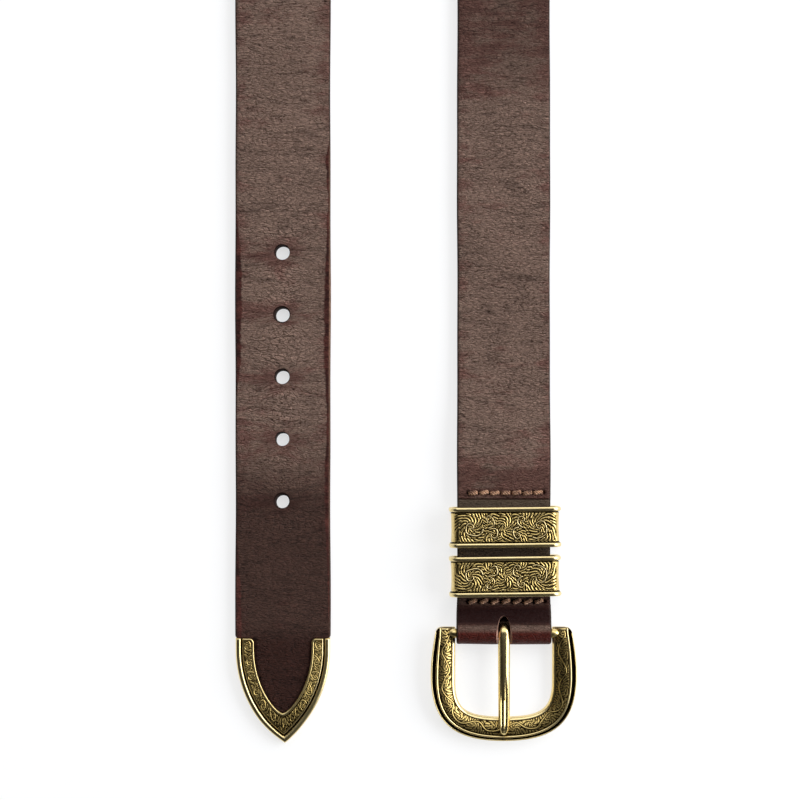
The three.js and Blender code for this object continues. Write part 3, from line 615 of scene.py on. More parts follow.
# Wear, stain and painted shade. The leather is rubbed red at its edges, above the keepers and by the holes.
# Painted shade darkens it towards the tip, ahead of the turn, by the keepers, in the crease and in the needle
# holes.
wear = 0.55 * smooth((np.abs(across_mm) - half * 0.55) / (half * 0.45))
wear += 1.15 * np.exp(-(((up - 102) / 12) ** 2)) * by_buckle
wear += 0.6 * smooth((up - 250) / 30) * (1 - smooth((up - 310) / 60)) * (x > 0)
pinch = np.zeros_like(x)
for hole in HOLE_UPS:
    away = up - hole
    near_hole = np.exp(-(((x - TIP_X + 3) / 13) ** 2) - (away / 6.5) ** 2)
    wear += np.where(on_tip_leg, 0.9 * near_hole, 0)
    pinch += np.where(on_tip_leg, 0.9 * away * np.exp(-((np.hypot(x - TIP_X, away * 1.4) / 9) ** 2)), 0)
worn_right, worn_left, lit_edge = (np.interp(up, EDGE_WEAR_AND_HIGHLIGHT[:, 0], EDGE_WEAR_AND_HIGHLIGHT[:, i]) for i in (1, 2, 3))
burnish = np.where(on_tip_leg, np.where(across_mm > 0, worn_right, worn_left), 0)
burnish_band = smooth((0.6 + 3.6 * burnish - from_edge) / (0.7 + 2.0 * burnish)) * smooth(burnish * 2.5)
# A pale painted highlight along the right edge's upper rounding, where the light catches it.
lit_edge_line = smooth((across_mm - half + 0.85) / 0.5) * 0.9 * lit_edge * smooth(plan[:, 3] / 0.55)
# Painted shade where the strap's sheen falls off: towards the tip, ahead of the turn and towards the keepers.
towards_tip = 0.84 * smooth((126 - up) / 34) + 0.16 * smooth((48 - up) / 10)
by_turn = 0.45 * smooth((up - 240) / 50) * (1 - smooth((up - 300) / 60))
at_keepers = 0.34 * smooth((122 - up) / 14) + 0.34 * smooth((CREASE_UP + 0.2 - up) / 0.6)
# Deepest painted shade below the lower keeper. It stops short of the fold's crest, which is left lighter as a
# painted highlight.
below_keepers = 1.38 * smooth((55.5 - up) / 3) - 1.75 * smooth((48.4 - up) / 2.2)
painted_shade = np.where(by_tip, towards_tip, 0) + np.where(by_buckle, by_turn, 0)
painted_shade += np.where(on_buckle_leg, at_keepers + below_keepers, 0)
# Painted shade in the needle holes and in the crease above the keepers.
painted_shade += 2.5 * np.clip(sewn - 0.35, 0, 1) + 0.8 * crease
# Painted keeper shade, from the crease down under and between the keepers.
under_keepers_shade = smooth((CREASE_UP + 0.1 - up) / 0.5) * smooth((up - 58) / 4)
skin_fields = {
    "place": np.stack([across_mm, along_mm + pinch, out_mm], -1),
    "edge": np.where(on_grain, smooth((0.75 - from_edge) / 0.45), 0),
    "burnish": np.where(on_grain, burnish_band, 1.0),
    "rim": np.where(on_tip_leg & on_grain, lit_edge_line, 0),
    "flesh": (plan[:, 1] < 0) * (np.abs(plan[:, 3]) > 0.9) * np.ones_like(x),
    "wear": wear,
    # Painted shade on the fold's underside, which turns away from the light.
    "fold": np.where(over_fold & on_grain, smooth((45.6 - up) / 2.2), 0),
    "keeper_shade": np.where(on_buckle_leg, 0.9 * under_keepers_shade, 0),
    "sleek": np.where(over_fold | (on_buckle_leg & (up < 97)), 1.0, 0.0),
    "painted_shade": np.clip(painted_shade, 0, 2),
}

strap = make_piece("strap_leather", skin, tube_faces(*x.shape), [leather_paint()])
shaded_hole_wall, shaded_slot_wall = (cut_leather_paint(name, *colours) for name, colours in CUT_WALLS.items())
cut(strap, [hole_cutter(hole, radius) for hole, radius in zip(HOLE_UPS, HOLE_RADII)], shaded_hole_wall)
grain_line = stations[:, 1:3] + stations[:, 7:9] * thick / 2
over_bar = (stations[:, 0] > 0) & (stations[:, 8] > 0.1) & (grain_line[:, 0] < 58) & (grain_line[:, 1] > 4.8)
over_bar = grain_line[over_bar]
cut(strap, [slot_cutter(over_bar[over_bar[:, 0].argsort()].T)], shaded_slot_wall)
axes = [np.broadcast_to(axis, skin.shape) for axis in (acrosses, forwards, normals)]
carry_fields(strap, skin.reshape(-1, 3), skin_fields, axes)
mark_sharp(strap.data, 50)
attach(strap, "strap")
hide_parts("strap")

# Tip. A cast brass clasp that points the end of the strap: a thin back and a raised border
# round an open arch of leather. The border has a beaded edge, a dark groove, a band of leaf
# scroll and a smooth inner rim, which turns round the top of each arm. It is pressed on.
TIP_TOP = tip_high[1] - tip_low[1]
TIP_BORDER = 7.4
TIP_BAND = {"from": 3.4, "middle": 5.0, "low": 4.12, "relief": 0.36, "dome": 0.10}
TIP_RIM = {"half": 0.5, "rise": 0.42, "corner": 2.0}
TIP_ROWS = 250
TIP_EYES = {"first": 3.4, "pitch": 6.1, "off": 0.5}
TIP_PLATE = {"inset": 0.25, "heights": (0.0, 0.7)}
TIP_OUTER = (  # inset from the outline, height, share of polish
    (1.0, 0.0, 0.6), (0.35, 0.0, 0.8), (0.05, 0.35, 0.8), (0.0, 1.0, 0.9), (0.0, 2.2, 0.9),
    (0.0, 3.2, 0.9), (0.06, 3.6, 1.0), (0.2, 3.88, 1.0), (0.42, 4.08, 1.0), (0.7, 4.2, 1.0),
    (1.0, 4.27, 1.0), (1.3, 4.29, 1.0), (1.6, 4.24, 1.0), (1.85, 4.1, 1.0), (2.05, 3.86, 0.9),
    (2.2, 3.56, 0.2), (2.32, 3.42, 0.0), (2.5, 3.4, 0.0), (2.64, 3.48, 0.0), (2.74, 3.76, 0.3),
    (2.84, 4.02, 0.9), (3.0, 4.16, 1.0), (3.15, 4.18, 1.0), (3.3, 4.12, 0.5),
)
TIP_UNDER = (
    (7.4, 3.9, 0.5), (7.4, 3.5, 0.2), (7.3, 3.12, 0.0), (6.0, 3.12, 0.0), (1.45, 3.12, 0.0),
    (1.3, 0.75, 0.0),
)
RINGS = (  # of a whirl: inner and outer radius, feathers, turns of a feather across its ring
    (0, 0.75, 3, 0.5),
    (0.6, 2.1, 8, 1.3),
    (1.9, 4.1, 14, 1.8),
    (3.9, 6.6, 21, 2.0),
    (6.4, 9.4, 29, 2.1),
    (9.2, 13, 38, 2.2),
)


def whirls(x, y, eyes, scale, crisp):
    """Feathers that swirl round the nearest of several eyes, each ring lapping over the next.
    An eye is a place, a weight, a hand and a turn."""
    gap = np.stack([np.hypot(x - e[0], y - e[1]) - e[2] for e in eyes])
    eye = np.array(eyes)[gap.argmin(0)]
    gap.sort(0)
    radius = np.hypot(x - eye[..., 0], y - eye[..., 1]) / scale
    angle = np.arctan2(y - eye[..., 1], x - eye[..., 0]) * eye[..., 3] + np.radians(eye[..., 4])
    height, left = np.zeros_like(x), np.ones(x.shape, bool)
    for inner, outer, count, sweep in RINGS:
        t = (radius - inner) / (outer - inner)
        side = np.abs(2 * ((angle * count / (2 * np.pi) - sweep * np.clip(t, -0.3, 1.4)) % 1) - 1)
        room = outer - 0.3 + 0.42 * np.sqrt(np.clip(1 - side * side, 0, 1)) - radius
        inside = left & (room > 0)
        bead = np.clip(1 - side**crisp, 0, 1) ** 0.8 * (0.75 + 0.25 * np.clip(1 - t, 0, 1))
        height = np.where(inside, bead * smooth(room / 0.18), height)
        left &= ~inside
    return height * smooth((gap[1] - gap[0]) / 0.25)


def spiral(eye, start_radius, width):
    """A stem that unwinds from the eye by so many turns to a last radius."""
    x, y, _, hand, start, last_radius, turns = eye
    t = np.linspace(0, 1, 40)
    radius = start_radius * (last_radius / start_radius) ** t
    angle = np.radians(start + hand * 360 * turns * t)
    points = np.stack([x + radius * np.cos(angle), y + radius * np.sin(angle)], 1)
    return points, width * (0.55 + 0.45 * t)


def mirrored(eyes):
    """The same eyes on the other side of x = 0."""
    return [(-x, y, w, -hand, turn + 180 * hand, last, n) for x, y, w, hand, turn, last, n in eyes]


def carve(strokes, fill, x, y):
    """Height from 0 to 1 of rounded strokes, each with a cut line round it, above the fill."""
    bead, clear = np.zeros_like(x), np.full_like(x, 9.0)
    for points, width in strokes:
        low, high = points.min(0) - width.max() - 0.5, points.max(0) + width.max() + 0.5
        near = (x > low[0]) & (x < high[0]) & (y > low[1]) & (y < high[1])
        if not near.any():
            continue
        px, py = x[near], y[near]
        best, gap_left = bead[near], clear[near]
        for a, b, w in zip(points[:-1], points[1:], (width[1:] + width[:-1]) / 2):
            run = b - a
            t = np.clip(((px - a[0]) * run[0] + (py - a[1]) * run[1]) / (run @ run), 0, 1)
            gap = np.hypot(px - a[0] - run[0] * t, py - a[1] - run[1] * t)
            best = np.maximum(best, np.sqrt(np.clip(1 - (gap / w) ** 2, 0, 1)))
            gap_left = np.minimum(gap_left, gap - w)
        bead[near], clear[near] = best, gap_left
    return np.maximum(bead, fill * smooth((clear - 0.08) / 0.2))


def scroll(x, y, eyes, scale, crisp, width, extra=()):
    """Leaf scroll: feathers round every eye, and a stem that winds out of those with a spiral."""
    x, y = x + 0.25 * np.sin(0.9 * y + 0.5 * x), y + 0.25 * np.sin(0.8 * x - 0.7 * y + 1)
    fill = 0.85 * whirls(x, y, [eye[:5] for eye in eyes], scale, crisp)
    stems = [spiral(eye, 0.1 + 0.35 * scale, width) for eye in eyes if eye[5]]
    return carve(stems + list(extra), fill, x, y)


def brass_paint(name, bright, worn, rough):
    """Antique brass: polished on what stands proud, and nearly black in what lies low."""
    paint = Paint(bpy.data.materials.new(name))
    place = paint.field("place", "Vector")
    shine = paint.field("shine")
    cloud = paint.noise(place, 0.30, 2, 0.5)
    grit = paint.noise(place, 2.2, 2, 0.5)
    scratch = paint.noise(paint.stretched(place, (3.0, 0.25, 3.0)), 1.0, 2, 0.5)
    level = paint.step(shine + (cloud - 0.5) * 0.10, 0.22, 0.80)
    brass = paint.mix(worn, bright, paint.step(shine + cloud * 0.25 + grit * 0.08, 0.92, 1.20))
    colour = paint.mix((0.014, 0.007, 0.002, 1), brass, level)
    roughness = 0.55 - level * (0.55 - rough) + (cloud - 0.5) * 0.06
    bump = paint.bump(grit * 0.5 + scratch * 0.5, 0.000008, 0.3)
    return paint.finish(Base_Color=colour, Metallic=1.0, Roughness=roughness, Normal=bump)


def section_plan(before, insets, heights, after):
    """The section of a border in three parts, the middle one unpolished: insets, heights, shares
    of polish, and which of them are the middle's."""
    middle = np.column_stack([insets, heights, 0 * insets])
    in_middle = np.repeat([False, True, False], [len(before), len(middle), len(after)])
    return *np.concatenate([before, middle, after]).T, in_middle


def tip_arm(insets, along, length):
    """Half widths and distances up of one arm, from its top round to the point."""
    straight = TIP_TOP - OGIVE_UP
    radius = OGIVE_RADIUS - insets
    turned = np.clip((along - straight) / (length - straight), 0, 1) * arm_sweep(insets)
    up = np.where(along < straight, TIP_TOP - along, OGIVE_UP - radius * np.sin(turned))
    x = radius * np.cos(turned) - OGIVE_OFFSET
    blunt = np.hypot(x, 3.6 * smooth((insets - 3.4) / 3.6)) - x
    up = up + 0.66 * blunt
    return x, up - 0.6 * smooth((TIP_TOP - 8 - up) / (TIP_TOP - 14))


def arm_sweep(insets):
    """Angle of the outline's arc from its widest place to the point."""
    return np.arcsin((OGIVE_UP - ogive_apex(insets)) / (OGIVE_RADIUS - insets))


def arch_rim(insets, x, up):
    """Rounds the arm's inner top corner. Gives the moved points, and the gap to the inner edge."""
    corner = TIP_RIM["corner"]
    inner, above = TIP_BORDER - insets, TIP_TOP - up
    reach = np.hypot(corner - inner, corner - above)
    in_corner = (inner < corner) & (above < corner)
    gap = np.where(in_corner, corner - reach, np.minimum(inner, above))
    pull = np.where(in_corner & (reach > corner), corner / np.maximum(reach, 0.01), 1)
    x = np.where(in_corner, x + (1 - pull) * (corner - inner), x)
    up = np.where(in_corner, up - (1 - pull) * (corner - above), up)
    return x, up, np.clip(gap, 0, None)


def tip_scroll(along, across, length):
    """Leaf scroll down one arm, with a ridge and a lobe at the point."""
    eyes = []
    for k, spot in enumerate(np.arange(TIP_EYES["first"], length - 5, TIP_EYES["pitch"])):
        hand = 1 if k % 2 else -1
        eyes.append((spot, -TIP_EYES["off"] * hand, 0, hand, 180 - 30 * hand, 2.2, 1.15))
    eyes.append((length - 2.6, -1.4, 0, 1, 0, 0, 0))
    ridge = np.linspace((length, -3.2), (length, 1.7), 6)
    lobe = spiral((length - 1.3, 1.25, 0, 1, 250, 0.85, 0.8), 0.6, 0.27)
    return scroll(along, across, eyes, 1.35, 1.9, 0.34, [(ridge, np.full(6, 0.24)), lobe])


def tip_plate():
    """The thin back, as its lower and its upper outline."""
    inset = TIP_PLATE["inset"]
    up = np.concatenate([np.linspace(0.3, OGIVE_UP, 40), [TIP_TOP - 0.02]])
    half = np.minimum(ogive_half(up, inset), OGIVE_HALF - inset)
    x = np.concatenate([TIP_X + half, (TIP_X - half)[::-1]])
    y = np.concatenate([up, up[::-1]]) + APEX_Y
    return np.array([np.column_stack([x, y, np.full(len(x), height)]) for height in TIP_PLATE["heights"]])


def tip_piece():
    """One arm is shaped and mirrored, and the two are skinned from top to top."""
    band = np.arange(TIP_BAND["from"], TIP_BORDER - 0.06, 0.12)
    low = TIP_BAND["low"] + 0 * band
    insets, heights, polish, on_band = section_plan(TIP_OUTER, band, low, TIP_UNDER)
    length = TIP_TOP - OGIVE_UP + (OGIVE_RADIUS - 4.4) * arm_sweep(insets)[len(TIP_OUTER) + 15]
    along = np.linspace(0, length, TIP_ROWS)[:, None]
    x, up, rim_gap = arch_rim(insets, *tip_arm(insets, along, length))
    half_rim = TIP_RIM["half"]
    rim = np.sqrt(np.clip(1 - ((rim_gap - half_rim) / half_rim) ** 2, 0, 1)) * (rim_gap < 2 * half_rim)
    plane = np.broadcast_to(along, x.shape)
    ornament = tip_scroll(plane, TIP_BAND["middle"] - insets + 0 * x, length)
    inside = smooth((rim_gap - 1.05) / 0.2) * smooth((insets - 3.35) / 0.2)
    dome = TIP_BAND["dome"] * (1 - ((insets - 5.3) / 2.0) ** 2)
    relief = dome + TIP_RIM["rise"] * rim + TIP_BAND["relief"] * ornament * inside
    z = heights + np.where(on_band, relief, 0)
    # Painted shade: the band grows darker towards the point.
    shade_to_point = 1 - 0.34 * smooth((24 - up) / 18)
    shine = np.where(on_band, np.maximum(1.05 * rim, (0.22 + 0.66 * ornament) * inside * shade_to_point), polish)
    z = np.where(z > 2, z - 0.42 * np.clip(1 - along / 0.5, 0, 1) ** 2, z)
    shine = np.where((along < 0.2) & (z > 2), 0.8, shine)
    leaning = TIP_X + 0.8 * np.clip(1 - up / 9, 0, 1) ** 1.5
    left, right = (np.stack([leaning + side * x, up + APEX_Y, z], -1) for side in (-1, 1))
    border = np.concatenate([left, right[-2::-1]])
    place = np.stack([insets + 0 * x, plane, z], -1)
    place = np.concatenate([place, place[-2::-1] * (1, -1, 1) + (0, 100, 0)])
    plate = tip_plate()
    points, faces = joined([(part, tube_faces(*part.shape[:2])) for part in (border, plate)])
    fields = {
        "place": np.concatenate([place.reshape(-1, 3), plate.reshape(-1, 3)]),
        "shine": np.concatenate([shine.ravel(), shine[-2::-1].ravel(), np.full(2 * plate.shape[1], 0.7)]),
    }
    return points, faces, fields


brass = brass_paint("antique_brass", (0.92, 0.76, 0.40, 1), (0.74, 0.55, 0.20, 1), 0.29)
points, faces, fields = tip_piece()
tip = make_piece("tip_clasp", points, faces, [brass], fields)
mark_sharp(tip.data, 60)
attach(tip, "strap")
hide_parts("tip")

# Buckle frame. A heavy cast brass western frame, open at the top between two horns, with its
# bar cast across it. A thin outer rim, a deep black groove, a fine ridge, a domed face of
# leaf scroll and a smooth inner lip run round it. It hangs in the fold and lies on its foot.
BORDER = 10
HORN_TOP = 2.3
HORN_HALF = 27.35
HORN_FOOT = (27.6, -0.9)
HORN_ROUND = (24.6, 27.2)
LOCAL_FOOT = 0.3 - BAR_UP
LOCAL_OPENING = 9.7 - BAR_UP
FRAME_HALF = 29.24
OPEN_HALF = 19.35
WIDEST_UP = -16.5
OPEN_STRAIGHT_UP = -19.5
ABOVE_BACK = 3.0
BAR_RADIUS = 1.88
rest_reach = (-ABOVE_BACK, LOCAL_FOOT + 0.8)
TILT = np.arcsin(BAR_Z / np.hypot(*rest_reach)) - np.arctan2(*rest_reach) - np.pi
VINE = {"pitch": 7.3, "first": 4.6, "sway": 1.5, "half_width": 0.30}
FRAME_OUTER = (  # inset on a border 10 mm wide, height above the back, share of polish
    (1.2, 0.0, 0.6), (0.7, 0.02, 0.7), (0.25, 0.25, 0.8), (0.02, 0.8, 0.9), (0.0, 1.6, 0.9),
    (0.0, 3.0, 0.9), (0.0, 4.2, 1.0), (0.05, 4.6, 1.0), (0.16, 4.86, 1.0), (0.32, 4.96, 1.0),
    (0.5, 4.9, 1.0), (0.62, 4.66, 0.7), (0.7, 4.2, 0.1), (0.8, 3.7, 0.0), (1.0, 3.52, 0.0),
    (1.35, 3.5, 0.0), (1.7, 3.56, 0.0), (1.92, 3.8, 0.0), (2.0, 4.4, 0.1), (2.08, 4.84, 0.8),
    (2.2, 5.06, 1.0), (2.4, 5.2, 1.0), (2.65, 5.22, 1.0), (2.86, 5.12, 1.0), (2.98, 4.98, 0.4),
    (3.08, 4.94, 0.1), (3.2, 4.96, 0.3),
)
FRAME_FACE = ((3.2, 4.98), (4.2, 5.02), (5.0, 4.95), (5.8, 4.78), (6.6, 4.48), (7.4, 4.08), (8.4, 3.5))
FRAME_INNER = (
    (8.46, 3.42, 0.3), (8.56, 3.42, 0.4), (8.7, 3.42, 1.0), (9.0, 3.32, 1.0), (9.35, 3.1, 1.0),
    (9.65, 2.78, 1.0), (9.85, 2.4, 1.0), (9.96, 1.9, 0.9), (10.0, 1.2, 0.8), (9.95, 0.6, 0.8),
    (9.75, 0.2, 0.7), (9.3, 0.02, 0.6), (8.8, 0.0, 0.6), (5.0, 0.0, 0.6),
)


def quadratic(a, b, c, t):
    a, b, c = (np.array(p, float) for p in (a, b, c))
    return a * (1 - t) ** 2 + 2 * b * t * (1 - t) + c * t * t


def resampled(rows, at, fresh):
    """Every column of the rows, which stand at these places, read at fresh places."""
    return np.stack([np.interp(fresh, at, column) for column in rows.T], 1)


def frame_edges(pitch):
    """Matching points of the outer and the inner edge, from the right horn to the left one."""
    t = np.linspace(0, 1, 200)[:, None]
    shoulder, straight = (OPEN_HALF, -0.6), (OPEN_HALF, OPEN_STRAIGHT_UP)
    widest = (FRAME_HALF, WIDEST_UP)
    outer = [
        (1 - t) * (HORN_HALF, HORN_TOP) + t * HORN_FOOT,
        quadratic(HORN_FOOT, (FRAME_HALF, -9.5), widest, t),
        bezier(widest, (FRAME_HALF, -37), (19, LOCAL_FOOT), (0, LOCAL_FOOT), 200),
    ]
    inner = [
        (1 - t) * (OPEN_HALF, HORN_TOP) + t * shoulder,
        (1 - t) * shoulder + t * straight,
        bezier(straight, (OPEN_HALF, -31), (15, LOCAL_OPENING), (0, LOCAL_OPENING), 200),
    ]
    outer, inner = (np.concatenate([part[:-1] for part in edge] + [edge[-1][-1:]]) for edge in (outer, inner))
    length = distances((outer + inner) / 2)
    even = np.linspace(0, length[-1], int(length[-1] / pitch))
    along = np.concatenate([length[-1] - even, -(length[-1] - even[-2::-1])])
    outer, inner = (resampled(edge, length, even) for edge in (outer, inner))
    outer, inner = (np.concatenate([edge, edge[-2::-1] * (-1, 1)]) for edge in (outer, inner))
    return outer, inner, along


def buckle_eyes():
    """Eyes of the leaf scroll along the face, from the foot to both horns."""
    eyes = []
    for k, spot in enumerate(np.arange(VINE["first"], 72, VINE["pitch"])):
        hand = 1 if k % 2 else -1
        eyes.append((spot, 0.7 * hand, 0, hand, 180 + 30 * hand, 0, 0))
    return eyes + mirrored(eyes)


def vine(side):
    """A stem that winds between the eyes of one arm."""
    along = np.linspace(1.5, 74, 220)
    sway = VINE["sway"] * side * np.sin(np.pi * (along - 0.9) / VINE["pitch"])
    return np.stack([side * along, sway], 1), np.full(len(along), VINE["half_width"])


def to_world(points):
    """From the frame about the bar's axis to the belt as it lies."""
    x, y, z = np.moveaxis(np.asarray(points, float), -1, 0)
    turned_y = y * np.cos(TILT) - z * np.sin(TILT)
    turned_z = y * np.sin(TILT) + z * np.cos(TILT)
    return np.stack([BUCKLE_X + x, BAR_UP + APEX_Y + turned_y, BAR_Z + turned_z], -1)


def frame_bar():
    """The bar between the horns: its points, and its shine, which is dull inside the fold."""
    turn = np.linspace(0, 2 * np.pi, 33)[:-1]
    ends = np.linspace(0.87, 1, 14)
    x = np.concatenate([-ends[::-1], np.linspace(-0.86, 0.86, 8), ends])[:, None] * (OPEN_HALF + 3.0)
    boss = np.clip((np.abs(x) - OPEN_HALF + 0.3) / 3.3, 0, 1)
    radius = BAR_RADIUS * np.sqrt(1 - 0.97 * boss**2)
    bar = np.stack([x + 0 * turn, radius * np.cos(turn), radius * np.sin(turn)], -1)
    return bar, 0.1 + 0.8 * smooth(boss * 9) + 0 * turn


def frame_piece():
    """The section is swept from horn to horn, narrower at the foot, and cut level at the top."""
    outer, inner, along = frame_edges(0.165)
    along = along[:, None]
    face = np.arange(3.3, 8.42, 0.12)
    face_height = np.interp(face, *np.array(FRAME_FACE).T)
    face_height = np.convolve(np.pad(face_height, 4, "edge"), np.ones(9) / 9, "valid")
    insets, heights, polish, on_face = section_plan(FRAME_OUTER, face, face_height, FRAME_INNER)
    foot = np.exp(-((along / 22) ** 2))
    pinched = insets - 0.75 * foot * smooth((insets - 0.9) / 1.0) * (1 - smooth((insets - 3.0) / 3.5))
    flat = outer[:, None] + (inner - outer)[:, None] * (pinched / BORDER)[..., None]
    width = np.linalg.norm(inner - outer, axis=1)[:, None]
    z = heights + 0 * flat[..., 0]
    inner_round, outer_round = HORN_ROUND
    t = np.linspace(0, 1, 60)[:, None]
    corner = quadratic((inner_round, HORN_TOP), (outer_round, HORN_TOP), HORN_FOOT, t)[::-1]
    limit = np.interp(flat[..., 1], corner[:, 1], corner[:, 0], left=99, right=inner_round)
    flat[..., 0] = np.clip(flat[..., 0], -limit, limit)
    across = (insets - 5.85) / BORDER * width
    vines = [vine(1), vine(-1)]
    ornament = scroll(np.broadcast_to(along, z.shape), across, buckle_eyes(), 1.2, 1.9, 0.32, vines)
    from_top = HORN_TOP - flat[..., 1]
    top_rim = np.sqrt(np.clip(1 - ((from_top - 0.55) / 0.42) ** 2, 0, 1)) * (np.abs(from_top - 0.55) < 0.42)
    inside = smooth((insets - 3.25) / 0.25) * smooth((8.4 - insets) / 0.25) * smooth((from_top - 1.0) / 0.25)
    z = np.where(on_face, z + 0.15 * ornament * inside + 0.25 * top_rim, z)
    shine = np.where(on_face, np.maximum(0.78 * smooth(ornament * 1.1) * inside, top_rim), polish + 0 * z)
    rounding = 0.5 * np.clip(1 - from_top / 0.55, 0, 1) ** 2 + 1.6 * np.clip(1 - from_top / 7, 0, 1) ** 2
    z = z - rounding * smooth((z - 1.5) / 1.5)
    shine = np.where((from_top < 0.25) & (z > 3.9), np.maximum(shine, 0.75), shine)
    border = np.concatenate([flat, z[..., None] - ABOVE_BACK], -1)
    place = np.stack([insets + 0 * z, along + 0 * z, z], -1)
    bar, bar_shine = frame_bar()
    points, faces = joined([(part, tube_faces(*part.shape[:2])) for part in (border, bar)])
    fields = {
        "place": np.concatenate([place.reshape(-1, 3), bar.reshape(-1, 3)]),
        "shine": np.concatenate([shine.ravel(), bar_shine.ravel()]),
    }
    return to_world(points), faces, fields


points, faces, fields = frame_piece()
buckle = make_piece("buckle_cast_frame", points, faces, [brass], fields)
mark_sharp(buckle.data, 62)
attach(buckle, "buckle_frame")
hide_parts("buckle_frame")

# Prong. A round brass tongue that tapers to a blunt point and rests on the frame's foot. Its
# root flattens into an eye that wraps round the bar. It is polished smooth by use.
EYE = {
    "middle": 2.58,
    "above": 1.30,
    "below": 0.36,
    "angles": (0, 30, 45, 60, 90),
    "half_widths": (1.35, 1.5, 1.75, 2.05, 2.27),
    "end_taper": (0.97, 0.9, 0.75, 0.4),
}
SHANK = (  # distance from the bar, height of the middle, half width, height above and below it
    (-40.35, 3.05, 0.30, 0.22, 0.22),
    (-40.1, 3.12, 0.80, 0.50, 0.50),
    (-39.4, 3.32, 1.36, 0.82, 0.82),
    (-38.2, 3.52, 1.80, 1.12, 1.12),
    (-36.5, 3.65, 2.10, 1.36, 1.36),
    (-33, 3.62, 2.27, 1.58, 1.58),
    (-24, 3.22, 2.34, 1.80, 1.80),
    (-12, 2.72, 2.40, 1.94, 1.94),
    (-6, 2.46, 2.44, 1.94, 1.98),
    (-3.4, 2.40, 2.42, 1.84, 1.90),
    (-2.2, 2.46, 2.38, 1.72, 1.50),
    (-1.2, 2.52, 2.32, 1.56, 1.00),
)
RIDGES = {"rise": 0.40, "full_to": 11, "fade": 15, "middle_width": 0.17, "side_at": 0.66, "side_width": 0.15}


def prong_line():
    """Plan of the prong in even steps from the point to the end of the eye: how far each row is
    from the point, then its place, its height, its half width, and its reach above and below."""
    wrap = np.radians(np.linspace(90, -158, 60))
    eye = np.stack([
        EYE["middle"] * np.cos(wrap),
        EYE["middle"] * np.sin(wrap),
        np.interp(np.degrees(wrap), EYE["angles"], EYE["half_widths"]),
        EYE["above"] + 0 * wrap,
        EYE["below"] + 0 * wrap,
    ], 1)
    taper = np.array(EYE["end_taper"])[:, None]
    eye[-len(taper):, 2:] *= taper
    line = np.concatenate([SHANK, eye])
    length = distances(line[:, :2])
    fine = np.concatenate([np.linspace(0, 3, 16)[:-1], np.linspace(3, length[-1], 170)])
    rows = resampled(line, length, fine)
    for column in rows.T:
        column[12:-8] = softened(column, 9)[12:-8]
    return fine[:, None], rows


def prong_piece():
    fine, rows = prong_line()
    forward = np.gradient(rows[:, :2], axis=0)
    forward /= np.linalg.norm(forward, axis=1)[:, None]
    up_way = np.stack([-forward[:, 1], forward[:, 0]], 1)
    turn = np.linspace(0, 2 * np.pi, 81)[:-1]
    ridged = (1 - smooth((fine - RIDGES["full_to"]) / RIDGES["fade"])) * smooth(fine / 4)
    power = 1 - 0.42 * ridged
    part = np.sign(np.cos(turn)) * np.abs(np.cos(turn)) ** power
    side = part * rows[:, 2:3]
    reach = np.where(np.sin(turn) > 0, rows[:, 3:4], rows[:, 4:5])
    rise = np.sign(np.sin(turn)) * np.abs(np.sin(turn)) ** power * reach
    middle_ridge = np.exp(-((part / RIDGES["middle_width"]) ** 2))
    side_ridges = np.exp(-(((np.abs(part) - RIDGES["side_at"]) / RIDGES["side_width"]) ** 2))
    ridges = middle_ridge + 0.9 * side_ridges
    rise = rise + RIDGES["rise"] * ridges * ridged * (np.sin(turn) > 0.05)
    points = np.concatenate([side[..., None], rows[:, None, :2] + up_way[:, None] * rise[..., None]], -1)
    place = np.stack([side, fine + 0 * side, rise], -1)
    shine = 0.9 - 0.16 * ridged * np.clip(1 - ridges, 0, 1)
    return to_world(points), tube_faces(*side.shape), {"place": place.reshape(-1, 3), "shine": shine.ravel()}


polished = brass_paint("polished_brass", (0.92, 0.77, 0.40, 1), (0.78, 0.60, 0.24, 1), 0.25)
points, faces, fields = prong_piece()
prong = make_piece("buckle_prong", points, faces, [polished], fields)
mark_sharp(prong.data, 60)
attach(prong, "prong")
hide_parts("prong")

# Keepers. Two cast brass loops that hold down the end of the belt. Each has two rolled rims
# that stand proud of a panel of leaf scroll, with a dark line inside each rim. They slide on
# the folded end, between its two rows of stitches.
KEEPER = {"half": 22.35, "long": 16.0, "height": 12.3, "corner": 4.0, "waist": 0.28, "low_corner": 1.2}
KEEPER_RIM = {"wide": 1.75, "proud": 0.72, "proud_top": 0.5, "proud_below": 0.3}
PASSAGE = {"half": 20.2, "floor": 1.1, "top": 10.6, "corner": 2.5}
LOOP_STEPS = {"top": 280, "corner": 14, "side": 7, "low_corner": 5, "bottom": 24}
KEEPERS = (
    {"name": "keeper_upper", "lean": 0.6, "flip": 1},
    {"name": "keeper_lower", "lean": 0.7, "flip": -1},
)
PANEL = {"left": -20.4, "right": 20.6}
KEEPER_EYES = (  # place, weight, hand, turn, last radius and turns of the stem
    (-13.6, 0.2, 2.4, 1, 205, 4.9, 1.4),
    (-6.6, 2.9, 0.5, -1, 0, 2.9, 1.25),
    (-4.8, -2.9, 0.3, 1, 10, 2.6, 1.3),
)


